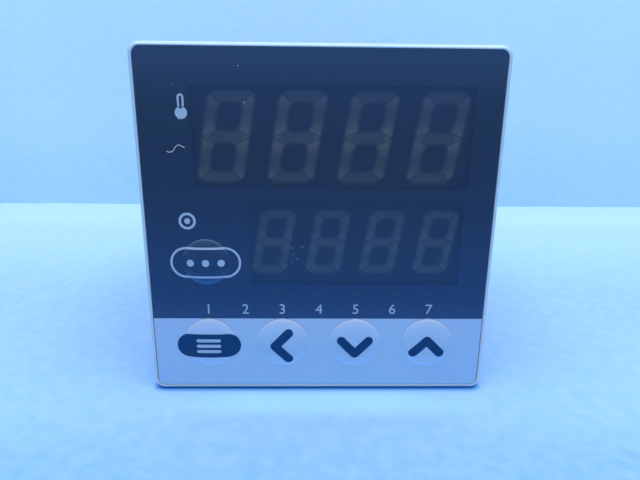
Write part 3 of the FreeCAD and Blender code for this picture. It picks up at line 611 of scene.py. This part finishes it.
# pitch, half width, half height and stroke of a digit, in millimetres
PV_SHAPE = ((pv_high.x - pv_low.x - 0.2) / DIGITS, 3.15, 6.0, 1.5)
SP_SHAPE = ((sp_high.x - sp_low.x) / DIGITS, 2.45, 4.55, 1.15)
for row, *look in (("pv", PV_SHAPE, (34, 62, 57), (140, 146, 126)),
                   ("sp", SP_SHAPE, (70, 86, 78), (108, 126, 116))):
    block = f"{row}_display_housing"
    OWN_FINISH[f"{row}_display_segments"] = segment_material(f"{row}_filling", block, *look)
    OWN_FINISH[block] = segment_material(f"{row}_block", block, *look, mask="Corner")
print("digit pitches", round(PV_SHAPE[0], 2), round(SP_SHAPE[0], 2))

# %% [markdown]
# ## Every CAD piece gets its finish
# The record names a material slot for each solid. Assigning the finish by slot keeps the
# parts that share a material alike. The bezel and the displays have a finish of their own,
# and a piece with no finish at all stops the script instead of staying plain.

# %% Assign the finishes
SLOTS = {part["node"]: part["material_slot"] for part in frame["record"]["subparts"]}
for name, cad in frame["nodes"].items():
    if name != "front_overlay":
        finish = OWN_FINISH.get(name) or FINISHES[SLOTS[name]]
        cad.data.materials.clear()
        cad.data.materials.append(finish)
print("finished nodes:", len(frame["nodes"]) - 1)

# %% [markdown]
# ## The film's printed fields
# The film is clear polyester, printed on its back. What shows is a glossy skin over
# ink: dark blue above, pale blue below, and no ink over the displays and lamps, where the
# film is only smoked. A fine hard-coat texture softens its reflections. The dark and smoked
# inks change with height as painted reflection. The slopes of the domes carry painted
# light: a painted highlight where they look up and a painted reflection where they look down.

# %% One recipe for the film's prints
BLACK = (0.0, 0.0, 0.0, 1.0)
INK_MOTTLE = 0.06       # how far the ink's grain goes towards black
FILM_SWING = 0.12       # how much a handled patch changes the film's roughness
# a slope's painted light starts at the first share of an upward or downward normal and is full at
# the second
PAINTED_SLOPE_SPAN = 0.06, 0.36      # where a slope's tint starts and where it is full


def film_material(name, colours, clear=0.0, roughness=0.22, specular=0.45, painted_slope_light=()):
    """Ink under a polyester skin: colours by height, a see-through share, and painted light on
    slopes.
    """
    material, tree, shader = new_material(name)
    shader.inputs["Specular IOR Level"].default_value = specular
    up = place_parts(tree)["Z"]
    level = maths(tree, "MULTIPLY_ADD", up, 0.5 / (FILM_HALF * MM), 0.5, clamp=True)
    grained = use(tree, "surface_grain", Size=0.09)
    dusted = use(tree, "settled_dust", Haze=0.1, Specks=0.0)
    patches = use(tree, "handled_patches", Size=9.0)
    spotty = maths(tree, "MULTIPLY", grained["Tone"], INK_MOTTLE)
    base = blended(tree, spotty, through(tree, level, colours.items()), BLACK)
    facing = normal_part(tree, "Z")
    # painted highlight and painted reflection: slopes that look up and slopes that look down take
    # given colours
    for side, painted_slope_colour in zip((1.0, -1.0), painted_slope_light):
        turned = spread(tree, maths(tree, "MULTIPLY", facing, side), *PAINTED_SLOPE_SPAN)
        base = blended(tree, turned, base, shown(*painted_slope_colour))
    if clear:
        opaque = maths(tree, "MULTIPLY_ADD", dusted["Mask"], clear, 1.0 - clear,
                       clamp=True)
        tree.links.new(opaque, shader.inputs["Alpha"])
    gloss = maths(tree, "MULTIPLY_ADD", patches["Value"], FILM_SWING,
                  roughness - FILM_SWING / 2)
    finish_shader(tree, shader, blended(tree, dusted["Mask"], base, DUST_COLOUR), gloss,
                  Strength=0.04, Distance=0.03 * MM, Height=grained["Height"])
    return material


# %% Inks, as colours at shares of the film's height; the dark and smoked inks' changes with height are painted reflection
DARK_INK_AND_REFLECTION = {0.235: (20, 56, 103), 0.31: (0, 46, 91), 0.59: (0, 32, 65), 0.72: (2, 30, 62),
        0.86: (6, 34, 66), 0.97: (21, 50, 85)}
SMOKED_INK_AND_REFLECTION = {0.35: (0, 54, 103), 0.48: (0, 47, 92), 0.64: (1, 35, 73), 0.74: (3, 35, 74),
          0.88: (12, 45, 91)}
PALE = {0.0: (128, 171, 217), 0.2: (136, 172, 212)}
NAVY = film_material("navy_film", DARK_INK_AND_REFLECTION)
# For each dome, the first colour is a painted highlight where a slope looks up and the second a
# painted reflection of the table where it looks down.
NAVY_DOME = film_material("navy_dome_film", DARK_INK_AND_REFLECTION, painted_slope_light=((24, 56, 92), (20, 84, 136)))
# The crease colours draw the thin line at a dome's rim: a painted highlight on the navy dome,
# painted shade on the pale ones.
NAVY_CREASE_HIGHLIGHT = film_material("navy_dome_crease", DARK_INK_AND_REFLECTION, painted_slope_light=((96, 106, 124), (20, 84, 136)))
PALE_BLUE = film_material("pale_blue_film", PALE, painted_slope_light=((152, 173, 205), (152, 196, 240)))
PALE_CREASE_SHADE = film_material("pale_dome_crease", PALE, painted_slope_light=((104, 118, 148), (146, 190, 234)))
WINDOW = film_material("smoked_window", SMOKED_INK_AND_REFLECTION, clear=0.4, specular=0.6)
LAMP_WINDOW = film_material("smoked_lamp_window", DARK_INK_AND_REFLECTION, clear=0.12, specular=0.5)
PRINT = film_material("pale_print", {0.2: (132, 163, 194), 0.9: (142, 164, 188)})
NAVY_PRINT = film_material("navy_print", {0.1: (1, 52, 101), 0.3: (1, 51, 98)}, specular=0.2)
print("film materials made")

# %% [markdown]
# ## The flat of the film
# The flat part is one sheet with round holes where the domes rise. Its faces end exactly
# where the inks meet and where the windows begin, so each border is a crisp line at any
# distance. A narrow skirt gives the sheet its thickness at the outer edge.

# %% Lamps, windows and holes
BORDER_Z = -12.9        # where the dark field ends
FILM_CORNER = 1.0
INSET = 0.5             # a window's edge, inside the display's face; also its corner
LAMP_COUNT = 7
LAMP_CHIP = 1.6         # across one lamp chip
LAMP_W, LAMP_H, LAMP_CORNER = 0.75, 0.4, 0.1    # half a lamp's window, and its corner
lamp_low, lamp_high = box_mm("indicator_leds")
LAMP_STEP = (lamp_high.x - lamp_low.x - LAMP_CHIP) / (LAMP_COUNT - 1)
LAMPS = [(lamp_low.x + LAMP_CHIP / 2 + i * LAMP_STEP, (lamp_low.z + lamp_high.z) / 2)
         for i in range(LAMP_COUNT)]
outer = pill(-FILM_HALF, -FILM_HALF, FILM_HALF, FILM_HALF, corner=FILM_CORNER)
windows = [pill(low.x + INSET, low.z + INSET, high.x - INSET, high.z - INSET, corner=INSET)
           for low, high in ((pv_low, pv_high), (sp_low, sp_high))]
windows += [pill(x - LAMP_W, z - LAMP_H, x + LAMP_W, z + LAMP_H, LAMP_CORNER)
            for x, z in LAMPS]
circles = [ring(*key) for key in KEYS.values()]
border = [(-FILM_HALF, BORDER_Z), (FILM_HALF, BORDER_Z)]
print("windows:", len(windows), "holes:", len(circles))

# %% The sheet, with a material for each kind of field
FIELDS = [NAVY, WINDOW, PALE_BLUE, LAMP_WINDOW]
IN_DARK, IN_WINDOW, IN_PALE, IN_LAMP = range(4)
corners, faces, middles = triangles([outer] + windows + circles, lines=[border])
on_film = inside(middles, outer)
for circle in circles:
    on_film &= ~inside(middles, circle)
picks = np.where(middles[:, 1] < BORDER_Z, IN_PALE, IN_DARK)
for i, window in enumerate(windows):
    picks[inside(middles, window)] = IN_WINDOW if i < 2 else IN_LAMP
corners, faces = kept(corners, faces, on_film)
points = [(x, FILM_Y, z) for x, z in corners]
picks = list(picks[on_film])
first, count = len(points), len(outer)
points += [(x, FILM_Y, z) for x, z in outer] + [(x, film_high.y, z) for x, z in outer]
for i in range(count):
    j = (i + 1) % count
    faces.append((first + i, first + count + i, first + count + j, first + j))
    picks.append(IN_PALE if outer[i][1] < BORDER_Z else IN_DARK)
sheet = piece("film_sheet", points, faces, FIELDS, picks)
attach(sheet, CASE)
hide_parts("front_overlay")
print("film sheet:", len(faces), "faces, border at z", BORDER_Z)

# %% [markdown]
# ## Domes over the keys
# A dome is pressed into the film over each key. It starts with a short steep shoulder,
# which catches a thin line of light, and goes on as a shallow cap.
# The shoulder's lowest ring adds to that line a painted highlight on the navy dome and painted
# shade on the pale ones.

# %% The film's relief
SHOULDER, SHOULDER_RISE = 0.3, 0.13     # across and up
CAP_BEND = 3            # the cap falls off with this power of the distance


def dome_rise(distance, radius):
    """How far a dome stands above the flat film at a distance from its middle."""
    if distance >= radius:
        return 0.0
    cap = radius - SHOULDER
    if distance > cap:
        return SHOULDER_RISE * (radius - distance) / SHOULDER
    return SHOULDER_RISE + (DOME_RISE - SHOULDER_RISE) * (1 - (distance / cap) ** CAP_BEND)


def film_y(x, z):
    """The front surface of the film above a place in the plane of the face."""
    return FILM_Y - max(dome_rise(math.hypot(x - kx, z - kz), r) for kx, kz, r in KEYS.values())


def follow_key(made):
    """Bakes the piece's placing into its mesh."""
    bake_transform(made)


# %% Five domes
SHOULDER_STEPS = 0.08, 0.16, 0.24       # rings up a shoulder
CAP_RINGS = 12
for name, (kx, kz, radius) in KEYS.items():
    cap = radius - SHOULDER
    steps = [radius - step for step in SHOULDER_STEPS] + [cap]
    steps += [cap * (1 - i / CAP_RINGS) for i in range(1, CAP_RINGS)]
    points = [(x, FILM_Y, z) for x, z in ring(kx, kz, radius)]
    points += [(x, film_y(x, z), z) for step in steps for x, z in ring(kx, kz, step)]
    points.append((kx, film_y(kx, kz), kz))
    last = len(steps) * AROUND
    pairs = [(j, (j + 1) % AROUND) for j in range(AROUND)]
    faces = [(at + j, at + k, at + AROUND + k, at + AROUND + j)
             for at in range(0, last, AROUND) for j, k in pairs]
    faces += [(last + j, last + k, len(points) - 1) for j, k in pairs]
    # the lowest ring takes the crease colours: a painted highlight on the navy dome, painted shade
    # on the pale ones
    inks = [NAVY_DOME, NAVY_CREASE_HIGHLIGHT] if name == "mode" else [PALE_BLUE, PALE_CREASE_SHADE]
    picks = [1] * AROUND + [0] * (len(faces) - AROUND)      # the crease is the lowest ring
    made = piece(f"{name}_dome", points, faces, inks, picks, smooth=True)
    follow_key(made)
    print(made.name, "radius", round(radius, 2), "faces", len(faces))

# %% [markdown]
# ## Print
# The print is a hair in front of the film: arrows, pills and plain marks. Each mark is
# filled from its outline with extra points inside. The rim of a dome and three rings up
# its shoulder are kept as edges, so the mark bends over the dome just as ink on the film
# does. Words are left off a generic part: dots, bars, a thermometer and a target take
# their places, and the lamps are numbered.

# %% Print helper
INK_THICK = 0.012
FILL_SPACING = 0.3      # between the extra points inside a mark on a dome
EDGES_UP = 3            # rings up a shoulder that a mark keeps as edges


def on_case(made):
    """The piece is part of the film's flat and stays with the case."""
    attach(made, CASE)


def printed(name, loops, material, key=None, whole=False, lift=INK_THICK):
    """A flat mark on the film. Loops inside loops are left open, unless the mark is whole."""
    outlines, rims, spacing = loops, [], None
    if key:
        x, z, radius = KEYS[key]
        outlines, spacing = [divided(loop) for loop in loops], FILL_SPACING
        rims = [ring(x, z, radius - SHOULDER * i / EDGES_UP) for i in range(EDGES_UP + 1)]
    corners, faces, middles = triangles(outlines + rims, spacing)
    marked = np.zeros(len(middles), bool)
    for loop in outlines:
        marked = marked | inside(middles, loop) if whole else marked ^ inside(middles, loop)
    corners, faces = kept(corners, faces, marked)
    points = [(x, film_y(x, z) - lift, z) for x, z in corners]
    made = piece(name, points, faces, [material], smooth=bool(key))
    if key:
        follow_key(made)
    else:
        on_case(made)


# %% Arrows on three keys
ARROW_WIDTH = 1.32
ARROWS = {  # key: the arrow's ends and its point between them, from the key's middle
    "shift": [(0.86, 1.56), (-1.1, -0.47), (0.86, -2.46)],
    "down": [(-1.95, 0.37), (0.0, -1.62), (1.95, 0.37)],
    "up": [(-1.93, -1.5), (0.0, 0.45), (1.93, -1.5)],
}
for name, route in ARROWS.items():
    kx, kz, _ = KEYS[name]
    first, point, last = [(kx + x, kz + z) for x, z in route]
    arms = [capsule(first, point, ARROW_WIDTH), capsule(point, last, ARROW_WIDTH)]
    printed(f"{name}_arrow", arms, NAVY_PRINT, name, whole=True)
print("arrows:", ", ".join(ARROWS))

# %% Two pills and their marks, from the middles of their keys
PILL_LINE = 0.3         # width of the line round the open pill
BAR_HALF = 0.24
kx, kz, _ = KEYS["mode"]
left, low, right, high = kx - 4.9, kz - 2.27, kx + 4.8, kz + 2.17
mode_pill = [pill(left, low, right, high),
             pill(left + PILL_LINE, low + PILL_LINE, right - PILL_LINE, high - PILL_LINE)]
mode_dots = [ring(kx + 2.1 * i, kz - 0.05, 0.5, 32) for i in (-1, 0, 1)]
printed("mode_pill", mode_pill, PRINT, "mode")
printed("mode_dots", mode_dots, PRINT, "mode")
kx, kz, _ = KEYS["parameter"]
parameter_pill = pill(kx - 4.7, kz - 2.28, kx + 4.4, kz + 1.4)
bars = [pill(kx - 1.9, kz + rise - BAR_HALF, kx + 1.6, kz + rise + BAR_HALF)
        for rise in (0.41, -0.44, -1.29)]
printed("parameter_pill", [parameter_pill], NAVY_PRINT, "parameter")
printed("parameter_bars", bars, PRINT, "parameter", lift=1.5 * INK_THICK)
print("pills done")

# %% Marks beside the two displays
x, z = -17.8, 16.3      # the thermometer
stem = pill(x - 0.42, z - 0.3, x + 0.42, z + 1.5)
bulb = ring(x, z - 0.85, 0.78, 40)
printed("measured_value_mark", [bulb], PRINT)
printed("measured_value_stem", [stem, pill(x - 0.17, z - 0.1, x + 0.17, z + 1.25)], PRINT)
x, z = -17.85, 1.3      # the ring with a dot
printed("target_value_mark", [ring(x, z, 1.15, 48), ring(x, z, 0.82, 48)], PRINT)
printed("target_value_dot", [ring(x, z, 0.4, 32)], PRINT)
print("marks done")

# %% Numbers under the lamps
FIGURE_SIZE, FIGURE_DROP = 2.1, 2.75    # a figure's size, and its foot below the lamp
for i, (x, z) in enumerate(LAMPS):
    text = bpy.data.curves.new(f"lamp_figure_{i + 1}", "FONT")
    text.body = str(i + 1)
    text.size = FIGURE_SIZE * MM
    text.align_x = "CENTER"
    holder = linked("figure_outline", text)
    bpy.context.view_layer.update()
    flat = bpy.data.meshes.new_from_object(holder)
    bpy.data.objects.remove(holder)
    points = [(x + v.co.x / MM, FILM_Y - INK_THICK, z - FIGURE_DROP + v.co.y / MM)
              for v in flat.vertices]
    faces = [tuple(face.vertices) for face in flat.polygons]
    on_case(piece(f"lamp_number_{i + 1}", points, faces, [PRINT]))
print("numbers under", len(LAMPS), "lamps")

# %% [markdown]
# ## Dust and a fibre
# The face has been on a shelf: it has specks of dust, a dozen of them in one patch, a
# curled fibre and a short scratch. They are real, small shapes, because a speck in a
# texture smears when the face is seen close up. A fixed seed gives the same specks on
# each run.

# %% Specks
SIDES = 7
CLEAR_OF_EDGE = 0.4     # no speck is nearer to the film's edge
RAGGED = 0.3            # how far a corner strays, in sizes of its speck
SPECK_LIFT = 0.002      # off the film
random.seed(15)


def scattered(count, across, up, sizes):
    """Places and sizes drawn evenly from three ranges, in millimetres."""
    return [tuple(random.uniform(*span) for span in (across, up, sizes)) for _ in range(count)]


spots = scattered(24, (-22, 22), (-12, 22), (0.02, 0.038))
spots += [(random.gauss(-2.6, 1.0), random.gauss(-2.4, 2.0), random.uniform(0.03, 0.055))
          for _ in range(12)]
spots += scattered(6, (-22, 22), (-22, -13.5), (0.012, 0.025))
spots += [(-9.8, 16.8, 0.07), (-10.4, 21.2, 0.05), (-3.2, 12.1, 0.03), (12.6, -1.6, 0.03)]
points, faces = [], []
for x, z, size in spots:
    if max(abs(x), abs(z)) < FILM_HALF - CLEAR_OF_EDGE:
        first = len(points)
        base = film_y(x, z) - SPECK_LIFT
        for px, pz in ring(x, z, size, SIDES):
            right, above = random.uniform(-RAGGED, RAGGED), random.uniform(-RAGGED, RAGGED)
            points.append((px + right * size, base, pz + above * size))
        points.append((x, base - size / 2, z))
        faces += [(first + j, first + (j + 1) % SIDES, first + SIDES) for j in range(SIDES)]
LINT = solid("pale_dust", (204, 216, 228), 0.8, 0.05, haze=0.0, specks=0.0)
on_case(piece("film_dust", points, faces, [LINT]))
print("specks:", len(faces) // SIDES)

# %% Fibre and scratch
FIBRE = [(-19.95, 10.6), (-19.7, 10.42), (-19.35, 10.5), (-19.0, 10.7),
         (-18.8, 11.2), (-18.3, 11.5), (-18.0, 11.25), (-17.6, 11.05)]
SCRATCH = [(-18.45, 15.35), (-18.3, 14.95), (-18.05, 14.6)]
for name, route, width in (("film_fibre", FIBRE, 0.035), ("film_scratch", SCRATCH, 0.025)):
    curve = bpy.data.curves.new(name + "_line", "CURVE")
    curve.dimensions = "3D"
    spline = curve.splines.new("NURBS")
    spline.points.add(len(route) - 1)
    for point, (x, z) in zip(spline.points, route):
        point.co = (x * MM, (FILM_Y - width) * MM, z * MM, 1.0)
    spline.order_u, spline.use_endpoint_u = 4 if len(route) > 3 else 3, True
    curve.bevel_depth, curve.bevel_resolution = width * MM, 2
    curve.materials.append(LINT)
    on_case(linked(name, curve))
print("fibre and scratch laid")

# %% [markdown]
# ## Floor and backdrop
# The controller stands on the lower edge of its bezel and on the foot of its terminal
# block, so in its own frame the floor is slightly tilted. A second pale blue sheet hangs
# behind it in faint folds, and can't be seen from behind, so that it never hides the
# device from a camera at the back. Light and shade are painted on the floor: painted
# shade right under the bezel and a little way towards the camera, a painted pool of light
# in front of the bezel and a paler band at its far end. The backdrop has painted shade
# towards its foot.

# %% The colour of the two sheets
# painted light: a pool of paler colour on the floor in front of the bezel, for light that the bezel
# throws down
GLOW_Y = -9.0           # the middle of the glow in front of the bezel
GLOW_ACROSS = 26 * MM, 10 * MM      # how far off the middle it starts and is full
GLOW_ALONG = 4.2 * MM, 1.2 * MM
GLOW_SHARE, GLOW_COLOUR = 0.85, shown(146, 198, 238)
# painted shade: the colour turns deep blue where the device stands close, from ambient occlusion
CONTACT_REACH, CONTACT_SHADE_COLOUR = 1.2 * MM, shown(46, 118, 194)
CONTACT_OPEN = 0.5, 0.95            # shares of open sky at full shade and at no shade
NO_CONTACT_Y = 90.0     # nothing stands on the sheets behind this


def stage_material(name, axis, stops):
    """A matt sheet whose colour changes slowly along one axis, with a painted pool of light before
    the bezel and painted shade close to the device; stops are in millimetres.
    """
    material, tree, shader = new_material(name)
    shader.inputs["Roughness"].default_value = 0.9
    shader.inputs["Specular IOR Level"].default_value = 0.1
    place = place_parts(tree)
    first, last = stops[0][0], stops[-1][0]
    span = maths(tree, "SUBTRACT", place[axis], first * MM)
    share = maths(tree, "DIVIDE", span, (last - first) * MM, clamp=True)
    shares = [((at - first) / (last - first), colour) for at, colour in stops]
    cloth = use(tree, "surface_grain", Size=2.2)
    light = maths(tree, "MULTIPLY_ADD", cloth["Height"], 0.15, -0.01, clamp=True)
    soft = blended(tree, light, through(tree, share, shares, "EASE"), shown(255, 255, 255))
    # painted light: the pool of paler colour in front of the bezel
    off_x = maths(tree, "ABSOLUTE", place["X"])
    off_y = maths(tree, "ABSOLUTE", maths(tree, "SUBTRACT", place["Y"], GLOW_Y * MM))
    glow = maths(tree, "MULTIPLY", spread(tree, off_x, *GLOW_ACROSS),
                 spread(tree, off_y, *GLOW_ALONG))
    soft = blended(tree, maths(tree, "MULTIPLY", glow, GLOW_SHARE), soft, GLOW_COLOUR)
    # painted shade near the device, from ambient occlusion in the colour; none behind NO_CONTACT_Y
    near = node(tree, "AmbientOcclusion", {"Distance": CONTACT_REACH}, samples=8).outputs["AO"]
    far = maths(tree, "GREATER_THAN", place["Y"], NO_CONTACT_Y * MM)
    painted_lit_share = maths(tree, "MAXIMUM", spread(tree, near, *CONTACT_OPEN), far)
    tree.links.new(blended(tree, painted_lit_share, CONTACT_SHADE_COLOUR, soft), shader.inputs["Base Color"])
    return material, tree, shader


def grid(name, across, along, place, material):
    """A smooth sheet of faces; place turns two shares into a point in millimetres."""
    points = [place(i / across, j / along) for j in range(along + 1) for i in range(across + 1)]
    row = across + 1
    faces = [(j * row + i, j * row + i + 1, (j + 1) * row + i + 1, (j + 1) * row + i)
             for j in range(along) for i in range(across)]
    made = piece(name, points, faces, [material], smooth=True)


# %% Floor
SHEET_HALF = 420        # how far the sheets reach to either side
FLOOR_LONG = 541
FLOOR_DROP = 0.06       # between the part and the floor
# the floor's colour with painted light and shade: darker a little way towards the camera, paler
# just in front of the bezel and towards the far end
FLOOR_STOPS_WITH_LIGHT_AND_SHADE = [(-90, (108, 158, 222)), (-24, (95, 151, 212)), (-9, (115, 165, 224)),
               (20, (119, 164, 222)), (76, (140, 184, 228)), (96, (151, 193, 234))]
bezel_low = box_mm("front_bezel")[0]
rear_low, rear_high = box_mm("terminal_block")
TILT = (rear_low.z - bezel_low.z) / rear_high.y


def floor_place(u, v):
    """A point of the floor, which passes just under the bezel's edge and the block's foot."""
    y = -SHEET_HALF + FLOOR_LONG * v
    return (-SHEET_HALF + 2 * SHEET_HALF * u, y, bezel_low.z + TILT * y - FLOOR_DROP)


floor_paint = stage_material("pale_floor", "Y", FLOOR_STOPS_WITH_LIGHT_AND_SHADE)[0]
grid("floor", 40, 60, floor_place, floor_paint)
print("floor tilt", round(math.degrees(math.atan(TILT)), 2), "degrees")

# %% Backdrop, seen only from the front
BACK_Y, BACK_FOOT, BACK_HIGH = 113.0, -40, 460
# the backdrop's colour, with painted shade towards its foot
BACK_STOPS_WITH_SHADE = [(-20, (145, 194, 238)), (14, (156, 202, 240)), (60, (160, 204, 240))]
FOLDS = [(1.3, 19.0, 0.0), (0.5, 7.3, 1.0), (0.12, 3.1, 0.0)]      # depth, width and start
backdrop_paint, tree, shader = stage_material("pale_backdrop", "Z", BACK_STOPS_WITH_SHADE)
clear = node(tree, "BsdfTransparent")
behind = node(tree, "NewGeometry").outputs["Backfacing"]
pick = node(tree, "MixShader", {0: behind, 1: shader.outputs[0], 2: clear.outputs[0]})
tree.links.new(pick.outputs[0], tree.nodes["Material Output"].inputs["Surface"])


def fold_place(u, v):
    """A point of the hanging sheet, whose upright folds fade out towards its foot."""
    x = -SHEET_HALF + 2 * SHEET_HALF * u
    wave = sum(depth * math.sin(x / width + begin) for depth, width, begin in FOLDS)
    return (x, BACK_Y + wave * min(1.0, v * 8), BACK_FOOT + BACK_HIGH * v)


grid("backdrop", 420, 24, fold_place, backdrop_paint)
print("backdrop at y", BACK_Y)

# %% [markdown]
# ## Camera
# The camera looks slightly down on the face from 67 mm away, through a lens as wide as a
# phone's. Its axes are worked out from three angles, because a plain look-at would lose
# the small roll.

# %% Camera
YAW, PITCH, ROLL = (math.radians(a) for a in (1.188, -15.69, 0.60))
EYE_X, EYE_AWAY, EYE_Z = -1.364, 67.216, 17.648     # away is from the bezel's front
SENSOR, FOCAL = 36.0, 28.805625
forward = Vector((math.sin(YAW) * math.cos(PITCH), math.cos(YAW) * math.cos(PITCH),
                  math.sin(PITCH)))
level = Vector((math.cos(YAW), -math.sin(YAW), 0.0))
upward = level.cross(forward)
right = level * math.cos(ROLL) + upward * math.sin(ROLL)
above = upward * math.cos(ROLL) - level * math.sin(ROLL)
lens = bpy.data.cameras.new("camera")
lens.sensor_width, lens.lens = SENSOR, FOCAL
lens.clip_start, lens.clip_end = 0.002, 5.0
camera = linked("camera", lens)
eye = Vector((EYE_X, bezel_low.y - EYE_AWAY, EYE_Z)) * MM
turned = Matrix((right, above, -forward)).transposed().to_4x4()
camera.matrix_world = Matrix.Translation(eye) @ turned
bpy.context.scene.camera = camera
print("lens", round(lens.lens, 2), "mm")

# %% [markdown]
# ## Light
# A large soft lamp hangs above, as in a light tent, and the surroundings fill in from
# all round. Together they light an upright face at about the level where a colour shows
# as it is written, and an upper edge a little more. The camera and the reflections see
# one even pale blue instead.

# %% World and lamp
SKY_STRENGTH, LAMP_WATTS = 1.2, 2.4
scene = bpy.context.scene
scene.view_settings.view_transform = "Standard"
world = bpy.data.worlds.new("tent")
world.use_nodes = True
scene.world = world
tree = world.node_tree
sky = tree.nodes["Background"]
sky.inputs["Strength"].default_value = SKY_STRENGTH
aim = node(tree, "SeparateXYZ", {0: node(tree, "TexCoord").outputs["Generated"]})
high = node(tree, "MapRange", {0: aim.outputs["Z"], 1: 0.02, 2: 0.5},
            interpolation_type="SMOOTHSTEP").outputs[0]
tree.links.new(blended(tree, high, shown(158, 190, 226), shown(255, 249, 242)),
               sky.inputs["Color"])
seen = node(tree, "Background", {"Color": shown(160, 211, 253), "Strength": 1.0})
path = node(tree, "LightPath")
direct = maths(tree, "MAXIMUM", path.outputs["Is Camera Ray"], path.outputs["Is Glossy Ray"])
direct = maths(tree, "MAXIMUM", direct, path.outputs["Is Transmission Ray"])
chosen = node(tree, "MixShader", {0: direct, 1: sky.outputs[0], 2: seen.outputs[0]})
tree.links.new(chosen.outputs[0], tree.nodes["World Output"].inputs["Surface"])
lamp = bpy.data.lights.new("softbox", "AREA")
lamp.shape, lamp.size, lamp.size_y, lamp.energy = "RECTANGLE", 0.5, 0.4, LAMP_WATTS
linked("softbox", lamp).location = (0.02, -0.03, 0.42)
print("world and softbox set")
